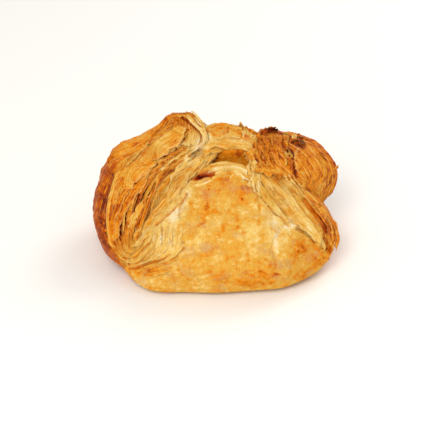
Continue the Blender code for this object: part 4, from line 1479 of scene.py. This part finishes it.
hollow_sheets = [
    # Painted shade: this sheet hangs deep in the hollow and is baked darker (0.58) for the shade there.
    hung_leaf((
        ((-0.0090, 0.0120, 0.0500), (0.0020, 0.0110, 0.0505), (0.0130, 0.0115, 0.0500),
         (0.0200, 0.0120, 0.0480)),
        ((-0.0080, 0.0088, 0.0488), (0.0020, 0.0076, 0.0488), (0.0130, 0.0080, 0.0484),
         (0.0200, 0.0085, 0.0470)),
        ((-0.0070, 0.0086, 0.0430), (0.0020, 0.0080, 0.0430), (0.0130, 0.0082, 0.0425),
         (0.0190, 0.0080, 0.0420)),
        ((-0.0060, 0.0070, 0.0370), (0.0020, 0.0062, 0.0365), (0.0130, 0.0066, 0.0365),
         (0.0180, 0.0060, 0.0365)),
        ((-0.0050, 0.0010, 0.0335), (0.0020, 0.0000, 0.0335), (0.0130, 0.0000, 0.0335),
         (0.0180, 0.0000, 0.0335)),
    ), 0.0003, 131, bake=0.58, shade=0.0, rim=0.0, wave=0.0016, streaked=0.15),
    hung_leaf((
        ((-0.0080, 0.0160, 0.0520), (0.0020, 0.0150, 0.0525), (0.0100, 0.0150, 0.0520),
         (0.0165, 0.0160, 0.0508)),
        ((-0.0080, 0.0100, 0.0506), (0.0020, 0.0095, 0.0512), (0.0105, 0.0096, 0.0504),
         (0.0172, 0.0104, 0.0490)),
        ((-0.0066, 0.0078, 0.0488), (0.0000, 0.0072, 0.0503), (0.0050, 0.0078, 0.0490),
         (0.0100, 0.0072, 0.0499),
         (0.0158, 0.0084, 0.0474)),
    ), 0.0006, 132, 0.8, bake=0.34, wave=0.0009),
    hung_leaf((
        ((-0.0070, 0.0130, 0.0512), (-0.0020, 0.0125, 0.0514), (0.0040, 0.0130, 0.0512)),
        ((-0.0070, 0.0084, 0.0492), (-0.0020, 0.0076, 0.0494), (0.0040, 0.0082, 0.0498)),
        ((-0.0062, 0.0060, 0.0462), (-0.0024, 0.0060, 0.0478), (0.0030, 0.0072, 0.0488)),
    ), 0.0006, 133, 0.7, bake=0.40),
    hung_leaf((
        ((0.0120, 0.0130, 0.0508), (0.0150, 0.0125, 0.0502), (0.0185, 0.0120, 0.0490)),
        ((0.0128, 0.0080, 0.0484), (0.0156, 0.0074, 0.0478), (0.0186, 0.0070, 0.0470)),
        ((0.0146, 0.0062, 0.0462), (0.0164, 0.0054, 0.0450), (0.0180, 0.0048, 0.0444)),
    ), 0.0006, 134, 0.7, bake=0.62),
    hung_leaf((
        ((0.0190, 0.0120, 0.0494), (0.0202, 0.0050, 0.0474), (0.0215, -0.0020, 0.0450)),
        ((0.0156, 0.0096, 0.0484), (0.0172, 0.0040, 0.0464), (0.0196, -0.0030, 0.0440)),
        ((0.0136, 0.0074, 0.0456), (0.0152, 0.0034, 0.0436), (0.0178, -0.0030, 0.0412)),
    ), 0.0006, 135, 0.9, bake=0.52, towards=(-1, -0.5, 1)),
    hung_leaf((
        ((-0.0050, -0.0030, 0.0466), (0.0050, -0.0022, 0.0470), (0.0150, -0.0030, 0.0462)),
        ((-0.0040, -0.0004, 0.0464), (0.0050, 0.0006, 0.0466), (0.0140, -0.0006, 0.0456)),
        ((-0.0020, 0.0012, 0.0452), (0.0054, 0.0030, 0.0448), (0.0120, 0.0010, 0.0444)),
    ), 0.0003, 137, 0.9, bake=0.34, towards=(0, 1, 1)),
    hung_leaf((
        ((-0.0020, 0.0100, 0.0500), (-0.0066, 0.0050, 0.0474), (-0.0096, -0.0010, 0.0444)),
        ((0.0000, 0.0088, 0.0490), (-0.0040, 0.0040, 0.0462), (-0.0072, -0.0014, 0.0434)),
        ((0.0010, 0.0074, 0.0472), (-0.0026, 0.0030, 0.0446), (-0.0058, -0.0016, 0.0420)),
    ), 0.0006, 136, 0.7, bake=0.22, towards=(1, -0.5, 1)),
]
make_piece("hollow_sheets", hollow_sheets, CUT_LEAVES)

# %% Rims of the hollow
rim_leaves = [
    laid_leaf(
        ((205, 172), (212, 169.5), (220, 167.3), (229, 165.6), (238, 166), (246, 169.6), (250, 174)),
        -4, 0.0012, 121, 0.12, bake=0.18,
    ),
    laid_leaf(
        ((213, 174), (219, 171.2), (226, 169), (235, 168.8), (244, 172)),
        -3.5, 0.0011, 122, 0.15, bake=0.24,
    ),
    laid_leaf(((210, 178), (219, 174), (228, 171.5), (238, 172.5)), -4, 0.0008, 123, 0.2, bake=0.32),
    laid_leaf(
        ((228, 179), (231, 175), (237, 172.5), (243, 175), (246, 181)),
        -3, 0.0008, 124, 0.2, bake=0.12,
    ),
    laid_leaf(((240, 178), (246, 180), (252, 186), (256, 192)), 3, 0.0006, 128, 0.2, bake=0.16),
    laid_leaf(((189, 184.5), (197, 184.5), (206, 182), (215, 178.5)), -3, 0.0006, 125, 0.2, bake=0.16),
    laid_leaf(
        ((250, 192), (247.5, 185), (249, 178), (246, 170), (248.5, 162), (245.5, 154), (250, 146)),
        -8, 0.0010, 126, 0.2, bake=0.30,
    ),
    laid_leaf(
        ((253, 196), (251, 186), (251, 176), (251.5, 166), (253, 158)),
        -7, 0.0010, 127, 0.2, bake=0.24,
    ),
    laid_leaf(((258, 200), (256, 190), (255, 180), (256, 172)), -6, 0.0010, 129, 0.2, bake=0.26),
]
make_piece("hollow_rims", rim_leaves, CUT_LEAVES)

# %% [markdown]
# ## The right fold and the browned corner
#
# The right fold shows one smooth pale sheet, then a dark red recess whose darkness is partly painted shade,
# then a browned lip. Above it stands the corner nearest to the heat, browned to chestnut and almost black at
# its tips. On its right half the leaves run along it in arcs. On its left half they were torn across, so the
# shreds hang down.

# %% Leaves of the right fold
right_leaves = [
    laid_leaf(
        ((326, 250), (320, 236), (316, 229), (308.5, 219), (301.5, 209.5), (294, 199), (288, 190)),
        (6, 9, 9, 6), 0.0010, 141, 0.12, 140, 12, bake=0.26,
    ),
    laid_leaf(
        ((325, 242), (321.5, 230), (314.5, 218), (307, 208), (300, 199), (293, 189)),
        4, 0.0011, 142, 0.15, 130, bake=0.34,
    ),
    laid_leaf(((327, 251), (323, 240), (319, 231)), 4, 0.0009, 143, 0.15, bake=0.30),
    laid_leaf(
        ((330, 247), (332, 234), (328, 222), (321, 212.5), (314, 206), (306, 198), (299, 189)),
        -6, 0.0012, 144, 0.12, 140, 10, bake=0.62,
    ),
    laid_leaf(
        ((333, 250), (336, 236), (331.5, 223), (324, 211.5), (316, 203.5)),
        -4, 0.0012, 145, 0.12, bake=0.60,
    ),
    laid_leaf(((328, 238), (327, 228), (322, 218), (315, 209), (308, 202)), -4, 0.0004, 146, 0.2, bake=0.72),
    laid_leaf(((330, 254), (326, 260), (320, 267)), -4, 0.0008, 147, 0.2, bake=0.60),
    laid_leaf(
        ((323, 266), (329, 259.5), (333.5, 250), (335.5, 241), (334.5, 233)),
        (3, 7, 9, 8, 4), 0.0006, 148, 0.05, bake=0.58,
    ),
    laid_leaf(
        ((319.5, 244), (312.5, 239), (304, 232), (296, 228)),
        -6, 0.0009, 149, 0.15, 120, 10, bake=0.26,
    ),
    laid_leaf(
        ((289, 225.5), (285, 222), (279.5, 216.5), (273, 211), (268, 205), (262, 197), (256, 188)),
        -5, 0.0008, 150, 0.12, 140, 10, bake=0.24,
    ),
    laid_leaf(((283, 174), (287, 181), (293, 188), (299, 197)), 3, 0.0006, 151, 0.2, bake=0.20),
    laid_leaf(((287, 173), (291, 180), (297, 188), (304, 197)), 3, 0.0007, 152, 0.2, bake=0.22),
    laid_leaf(((291, 175), (296, 182), (302, 190), (310, 199)), 3, 0.0007, 153, 0.2, bake=0.36),
]
# Twelve small flakes lie on the smooth pale sheet.
for number in range(12):
    right, down = 266 + rng.uniform(0, 24), 184 + rng.uniform(0, 22)
    right_leaves.append(laid_leaf(
        ((right, down), (right + 4, down + 6), (right + 9, down + 11)),
        2.2, 0.00025, 160 + number, 0.3, 60, 6,
        bake=rng.uniform(0.18, 0.34), shade=0.2, rim=0.2, sink=0.0005,
    ))
make_piece("right_fold_leaves", right_leaves, CUT_LEAVES)

# %% Leaves of the browned corner
browned_leaves = [
    laid_leaf(
        ((297.5, 176), (295.5, 170), (294.5, 164), (293.5, 157), (296, 150), (302, 147)),
        (-8, -20, -22, -14), 0.0009, 201, 0.12, 140, 18, bake=0.58,
    ),
    laid_leaf(
        ((258, 135), (263, 130), (269.5, 127.5), (275, 127), (280, 132)),
        (-3, -6, -5, -3), 0.0014, 202, 0.3, bake=0.82, curl=0.0005,
    ),
    laid_leaf(((288, 139), (294, 138), (300, 141.5), (305, 147)), (3, 4, 3), 0.0013, 203, 0.35, bake=0.86),
    laid_leaf(((291, 143), (297, 142), (303, 146)), (2, 3, 2), 0.0016, 211, 0.35, 60, bake=0.92),
    laid_leaf(((287, 135), (293, 137), (298, 136), (304, 140)), (2, 3, 3), 0.0012, 212, 0.35, 60, bake=0.66),
    laid_leaf(((285, 147), (288.5, 151), (291, 155), (293.5, 159)), (3, 5, 3), 0.0010, 204, 0.2, bake=0.93),
    laid_leaf(((283, 151), (284.5, 155), (287, 158.5)), (3, 4, 3), 0.0009, 205, 0.1, 60, bake=0.44),
    laid_leaf(((244, 126), (249, 129), (255, 132.5), (262, 135)), (-2, -4, -3), 0.0012, 206, 0.2, bake=0.56),
    laid_leaf(((282, 135), (284.5, 132), (289, 131.5)), -4, 0.0014, 207, 0.1, 60, bake=0.32, shade=0.1),
    laid_leaf(((290, 136.5), (294.5, 133.5), (298.5, 136)), -4, 0.0016, 208, 0.1, 60, bake=0.28, shade=0.1),
    laid_leaf(
        ((242, 178), (250, 175), (256, 175), (262, 173), (267, 176), (273, 174), (280, 178), (290, 173)),
        (8, 10, 8, 6), 0.0009, 209, 0.6, 140, 12, bake=0.54, rim=0.4,
    ),
    laid_leaf(((332, 172), (335.5, 169.6), (339.5, 167)), 3, 0.0006, 210, 0.05, 40, bake=0.58),
]
print("leaves of the browned corner:", len(browned_leaves))

# %% Arcs and shreds of the browned corner
# The arcs lie between an inner and an outer one. The shreds hang from a random start, a little aslant, and
# none of them reaches below the foot of the corner.
ARC_COUNT = 14
SHRED_COUNT = 46
SHRED_FOOT = 176
INNER_ARC = np.array(((302, 190), (304, 178), (306, 168), (304, 156)))
OUTER_ARC = np.array(((321, 197), (333, 180), (333.5, 165), (317, 149)))
for number in range(ARC_COUNT):
    share = (number + rng.uniform(0, 0.8)) / ARC_COUNT
    edge = INNER_ARC + (OUTER_ARC - INNER_ARC) * share
    edge = edge[: rng.integers(2, 4) if share < 0.5 else 4]
    browned_leaves.append(laid_leaf(
        edge, rng.choice([-1, 1]) * rng.uniform(2, 4), rng.uniform(0.0002, 0.0006),
        220 + number, 0.25, 110, 6, bake=rng.uniform(0.46, 0.68), rim=0.5,
    ))
for number in range(SHRED_COUNT):
    right, down = rng.uniform(250, 290), rng.uniform(134, 160)
    length = rng.uniform(8, 20)
    lean = rng.uniform(-0.05, 0.45)
    bent = (right + lean * length / 2 + rng.uniform(-1, 1), down + length / 2)
    edge = ((right, down), bent, (right + lean * length, min(down + length, SHRED_FOOT)))
    browned_leaves.append(laid_leaf(
        edge, rng.choice([-1, 1]) * rng.uniform(1.4, 3.2), rng.uniform(0.0002, 0.0008),
        240 + number, 0.3, 60, 5,
        bake=rng.choice([0.48, 0.56, 0.62, 0.70]) + rng.uniform(-0.05, 0.05),
        thick=0.00035, shade=0.15, rim=0.2,
    ))
make_piece("browned_leaves", browned_leaves, BROWNED_CRUST)

# %% Leaves at the back
back_leaves = [
    laid_leaf(
        ((200, 132), (205, 128), (214, 124), (225, 123.5), (237, 126.5), (246, 131)),
        -5, 0.0008, 301, 0.15, bake=0.42,
    ),
    laid_leaf(((205, 126), (211, 131), (218, 134), (224, 131), (226, 125)), -5, 0.0006, 306, 0.2, bake=0.56),
    laid_leaf(((206, 138), (218, 139), (230, 137), (243, 139)), 4, 0.0006, 302, 0.2, bake=0.30),
    laid_leaf(((204, 143), (220, 143.5), (232, 142), (246, 143)), 4, 0.0006, 303, 0.2, bake=0.28),
    laid_leaf(((204, 149), (214, 148), (225, 147), (236, 147), (247, 147)), 5, 0.0008, 304, 0.2, bake=0.30),
    laid_leaf(
        ((236, 129), (240.3, 122.0), (244, 126), (250, 130), (258, 134)),
        -3, 0.0012, 305, 0.1, 60, bake=0.34,
    ),
    laid_leaf(((240, 136), (245, 131), (251, 133), (257, 138)), -4, 0.0012, 307, 0.2, 60, bake=0.24),
    laid_leaf(((236, 132), (241, 129), (246, 134)), -3, 0.0010, 308, 0.2, 60, bake=0.50),
]
# The cut faces turned to the back carry leaves that overlap like tiles.
for fold, count, tone in (("left_fold", 8, 0.60), ("right_fold", 6, 0.55), ("browned_fold", 7, 0.66)):
    for number in range(count):
        root = 1.0 - number / count + rng.uniform(-0.03, 0.03)
        width = rng.uniform(1.1, 1.6) / count
        back_leaves.append(face_leaf(
            fold, "far", (rng.uniform(0.02, 0.10), rng.uniform(0.85, 0.99)), (root, root + 0.03, root),
            (root - width, root - width + 0.03, root - width), rng.uniform(0.0005, 0.0013),
            400 + 10 * len(back_leaves), ragged=0.2, bake=tone + rng.uniform(-0.08, 0.08),
        ))
make_piece("back_leaves", back_leaves, CUT_LEAVES)

# %% [markdown]
# ## Measure and finish
#
# The fine surface must not make the pastry bigger than the solid that it replaces. Here the triangles
# of all pieces are counted.

# %% Sizes
print("triangles:", sum(len(p.vertices) - 2 for m in bpy.data.meshes for p in m.polygons))
